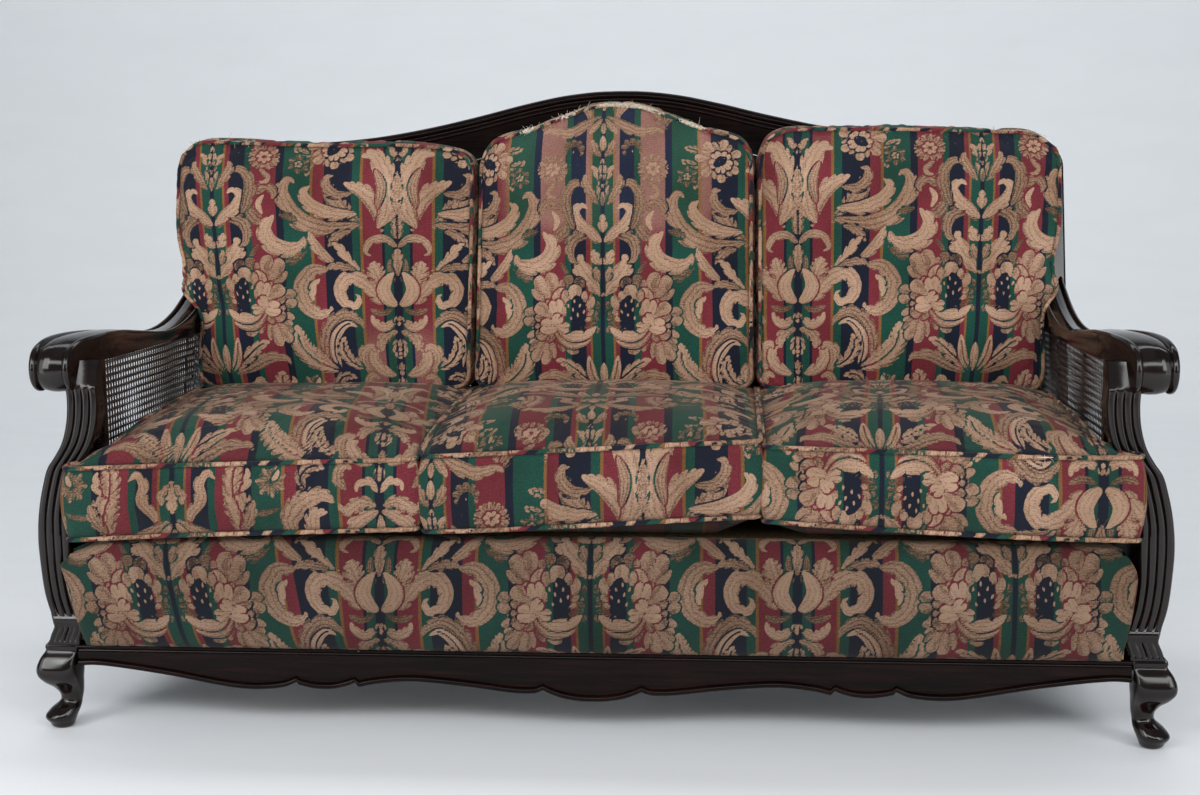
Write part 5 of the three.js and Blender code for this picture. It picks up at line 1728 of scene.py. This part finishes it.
def make_wear():
    """Where the cover has frayed through to the cord, and threads that have come loose."""
    for name, (place_of, start, end, level, room, shift, radius, hairs, seed, long, lean) in FRAYS.items():
        loop = SEAMS[place_of + "_cushion_face"]
        x, deep, z = loop.T
        chosen = (x > start) & (x < end) & (np.abs(z - level) < room)
        if "seat" in place_of:
            chosen &= deep < SEAT_EDGE
        line = loop[chosen]
        line = line[np.argsort(line[:, 0])] + shift
        frayed_cord(name, line, radius, hairs, seed, long, lean)


# ---- studio stage ----
LENS, SENSOR = 49.48, 36.0  # focal length and the sensor's width
STAND = (0.2227, -2.93655, 0.9038)
HEADING = 0.0804  # turned to the left of straight ahead, radians
PITCH = -0.1347
ROLL = -0.0077


def make_camera():
    """The camera's axes are worked out from its heading, pitch and roll."""
    forward = np.array([-math.sin(HEADING), math.cos(HEADING), 0])
    right = np.array([math.cos(HEADING), math.sin(HEADING), 0])
    up = np.array([0, 0, 1.0])
    ahead = forward * math.cos(PITCH) + up * math.sin(PITCH)
    top = up * math.cos(PITCH) - forward * math.sin(PITCH)
    c, s = math.cos(ROLL), math.sin(ROLL)
    camera = bpy.data.cameras.new("camera")
    camera.lens, camera.sensor_width = LENS, SENSOR
    holder = bpy.data.objects.new("camera", camera)
    matrix = np.eye(4)
    matrix[:3] = coords(right * c + top * s, top * c - right * s, -ahead, STAND)
    holder.matrix_world = Matrix(matrix.tolist())
    bpy.context.scene.collection.objects.link(holder)
    bpy.context.scene.camera = holder


def make_floor(colour):
    """A paper sweep: flat, then a quarter circle up into a wall. Matt, with faint scuffs."""
    look = new_look("background_paper")
    where = node(look, "TexCoord").outputs["Object"]
    scuff = noise(look, stretched(look, where, (3, 9, 9)), 1.0, 4)
    shade = ramp(look, scuff, [(0.3, 0.975), (0.7, 1.0)])
    base = mixed(look, 1.0, (*colour, 1.0), shade, "MULTIPLY")
    finish_look(look, Base_Color=base, Roughness=0.6, Specular_IOR_Level=0.3)
    turn = np.linspace(0, np.pi / 2, 24)
    bend, wall_at, tall, half = 1500.0, 4400.0, 6500.0, 7000.0
    y = np.concatenate([[-6000, -3000, 0], wall_at - bend + bend * np.sin(turn), [wall_at]])
    z = np.concatenate([[0, 0, 0], bend - bend * np.cos(turn), [tall]])
    x = np.linspace(-half, half, 15)[:, None]
    grid = coords(x, y, z) * MM
    sweep = write_mesh("paper_sweep", grid.reshape(-1, 3), grid_faces(*grid.shape[:2]), look)


LAMPS = {
    # place, aimed at, width and height, share of the power
    "key": ((-2.5, -3.1, 1.9), (0, 0, 0.8), (1.0, 2.4), 0.485),
    "fill": ((2.8, -3.0, 1.9), (0, 0, 0.8), (1.0, 2.4), 0.465),
    "near_left": ((-2.3, -1.6, 0.85), (-0.9, 0, 0.45), (0.9, 1.6), 0.11),
    "near_right": ((2.5, -1.6, 0.85), (0.9, 0, 0.45), (0.9, 1.6), 0.08),
    "top": ((0.0, -1.2, 3.8), (0, 0.1, 0.3), (3.0, 3.0), 0.04),
    "floor": ((0.0, -3.6, 2.4), (0, -2.3, 0.0), (5.0, 0.9), 0.92),
    "wall": ((0.0, 1.6, 5.2), (0, 4.2, 0.0), (10.0, 1.4), 1.42),
}


SKY = ("#DCE4EC", 0.23)  # colour and strength of the light from all round


def make_lamps(power):
    for name, (at, towards, size, share) in LAMPS.items():
        light = bpy.data.lights.new(name, "AREA")
        light.shape, light.energy = "RECTANGLE", power * share
        light.size, light.size_y = size
        lamp = bpy.data.objects.new(name, light)
        lamp.location = at
        lamp.rotation_euler = (Vector(towards) - Vector(at)).to_track_quat("-Z", "Y").to_euler()
        bpy.context.scene.collection.objects.link(lamp)
    world = bpy.data.worlds.new("studio")
    bpy.context.scene.world = world
    world.use_nodes = True
    background = world.node_tree.nodes["Background"]
    background.inputs["Color"].default_value = linear(SKY[0])
    background.inputs["Strength"].default_value = SKY[1]
    bpy.context.scene.view_settings.view_transform = "Standard"


# ---- settings ----
def colour_setting(name, description, code):
    first = linear(code)[:3]
    return FloatVectorProperty(
        name=name, description=description, subtype="COLOR", size=3, min=0, max=1, default=first
    )


def length_setting(name, description, default):
    return FloatProperty(
        name=name, description=description, default=default, min=0,
        unit="LENGTH", subtype="DISTANCE", precision=4,
    )  # fmt: skip


class ClothSettings(PropertyGroup):
    """Colours of the jacquard and the size of its piping."""

    navy: colour_setting("Navy", "Dark blue warp stripes", "#151E33")
    green: colour_setting("Green", "Green warp stripes", "#1B5346")
    gold: colour_setting("Gold", "Narrow gold-brown warp stripes", "#96683A")
    wine: colour_setting("Wine", "Wine red warp stripes", "#88313D")
    piping: length_setting("Piping radius", "Half the thickness of the covered cord in the seams", 0.0038)


class FillingSettings(PropertyGroup):
    """How full the loose cushions are."""

    pressure: FloatProperty(name="Pressure", description="Push of the filling", default=3.5, min=0)
    slack: FloatProperty(name="Slack", description="Share by which covers are cut too large", default=0.012)
    swell: length_setting("Swell", "Furthest that the filling pushes the cover out", 0.014)
    fill: FloatProperty(name="Fill", description="From 0, slack, to 1, tight", default=0.7, min=0, max=1)


class WoodSettings(PropertyGroup):
    """The polished and plain wood."""

    polish: colour_setting("Polish", "Colour of the stained mahogany", "#140907")
    edge: length_setting("Edge", "Rounding of the plain pieces' edges", 0.0012)


class CaneSettings(PropertyGroup):
    """The woven panels."""

    pitch: length_setting("Pitch", "Distance between the pairs of strands", 0.0118)
    strand: length_setting("Strand", "Width of one strand", 0.00105)


class StageSettings(PropertyGroup):
    """Background and lights."""

    paper: colour_setting("Paper", "Colour of the background paper", "#F1F4F7")
    power: FloatProperty(
        name="Power", description="What each lamp's share is taken of", default=95, unit="POWER", min=0
    )


SETTINGS = {
    "sofa_cloth": ClothSettings, "sofa_filling": FillingSettings, "sofa_wood": WoodSettings,
    "sofa_cane": CaneSettings, "sofa_stage": StageSettings,
}  # fmt: skip


# ---- operators ----
class SOFA_OT_finishes(Operator):
    """Mix the finishes of wood, cane, cloth and metal"""

    bl_idname = "sofa.finishes"
    bl_label = "Finishes"

    def execute(self, context):
        make_looks(context.scene.sofa_cloth, context.scene.sofa_wood)
        return {"FINISHED"}


class SOFA_OT_show_frame(Operator):
    """Carve the polished legs, apron, arms, posts and crest"""

    bl_idname = "sofa.show_frame"
    bl_label = "Polished frame"

    def execute(self, context):
        make_show_frame()
        return {"FINISHED"}


class SOFA_OT_plain_frame(Operator):
    """Finish the plain rails, blocks, webbing and springs"""

    bl_idname = "sofa.plain_frame"
    bl_label = "Plain frame"

    def execute(self, context):
        dress_frame(context.scene.sofa_wood.edge)
        return {"FINISHED"}


class SOFA_OT_platform(Operator):
    """Lay the hessian, the stuffing and the dust cover"""

    bl_idname = "sofa.platform"
    bl_label = "Seat platform"

    def execute(self, context):
        make_platform(context.scene.sofa_filling.fill)
        return {"FINISHED"}


class SOFA_OT_canework(Operator):
    """Weave the seven cane panels"""

    bl_idname = "sofa.canework"
    bl_label = "Canework"

    def execute(self, context):
        make_canework(context.scene.sofa_cane)
        return {"FINISHED"}


class SOFA_OT_border(Operator):
    """Cover the padded border under the seat cushions"""

    bl_idname = "sofa.border"
    bl_label = "Front border"

    def execute(self, context):
        border()
        return {"FINISHED"}


class SOFA_OT_seat_cushions(Operator):
    """Fill and sew the three seat cushions"""

    bl_idname = "sofa.seat_cushions"
    bl_label = "Seat cushions"

    def execute(self, context):
        make_seat_cushions(context.scene.sofa_filling)
        return {"FINISHED"}


class SOFA_OT_back_cushions(Operator):
    """Fill and sew the three back cushions"""

    bl_idname = "sofa.back_cushions"
    bl_label = "Back cushions"

    def execute(self, context):
        make_back_cushions(context.scene.sofa_filling)
        return {"FINISHED"}


class SOFA_OT_wear(Operator):
    """Fray the worn seams"""

    bl_idname = "sofa.wear"
    bl_label = "Wear"

    def execute(self, context):
        make_wear()
        return {"FINISHED"}


class SOFA_OT_stage(Operator):
    """Set up the camera, the paper sweep and the lights"""

    bl_idname = "sofa.stage"
    bl_label = "Studio"

    def execute(self, context):
        stage = context.scene.sofa_stage
        make_camera()
        make_floor(stage.paper)
        make_lamps(stage.power)
        return {"FINISHED"}


STEPS = [
    SOFA_OT_finishes, SOFA_OT_show_frame, SOFA_OT_plain_frame, SOFA_OT_platform, SOFA_OT_canework,
    SOFA_OT_border, SOFA_OT_seat_cushions, SOFA_OT_back_cushions, SOFA_OT_wear, SOFA_OT_stage,
]  # fmt: skip


class SOFA_PT_panel(Panel):
    """Settings and steps of the sofa"""

    bl_label = "Sofa"
    bl_idname = "SOFA_PT_panel"
    bl_space_type = "VIEW_3D"
    bl_region_type = "UI"
    bl_category = "Sofa"

    def draw(self, context):
        for name, group in SETTINGS.items():
            box = self.layout.box()
            for setting in group.__annotations__:
                box.prop(getattr(context.scene, name), setting)
        for step in STEPS:
            self.layout.operator(step.bl_idname)


def register():
    for made in (*SETTINGS.values(), *STEPS, SOFA_PT_panel):
        bpy.utils.register_class(made)
    for name, group in SETTINGS.items():
        setattr(bpy.types.Scene, name, PointerProperty(type=group))


def unregister():
    for name in SETTINGS:
        delattr(bpy.types.Scene, name)
    for made in (SOFA_PT_panel, *reversed(STEPS), *SETTINGS.values()):
        bpy.utils.unregister_class(made)


def main():
    register()
    for step in STEPS:
        group, name = step.bl_idname.split(".")
        getattr(getattr(bpy.ops, group), name)()


if __name__ == "__main__":
    main()
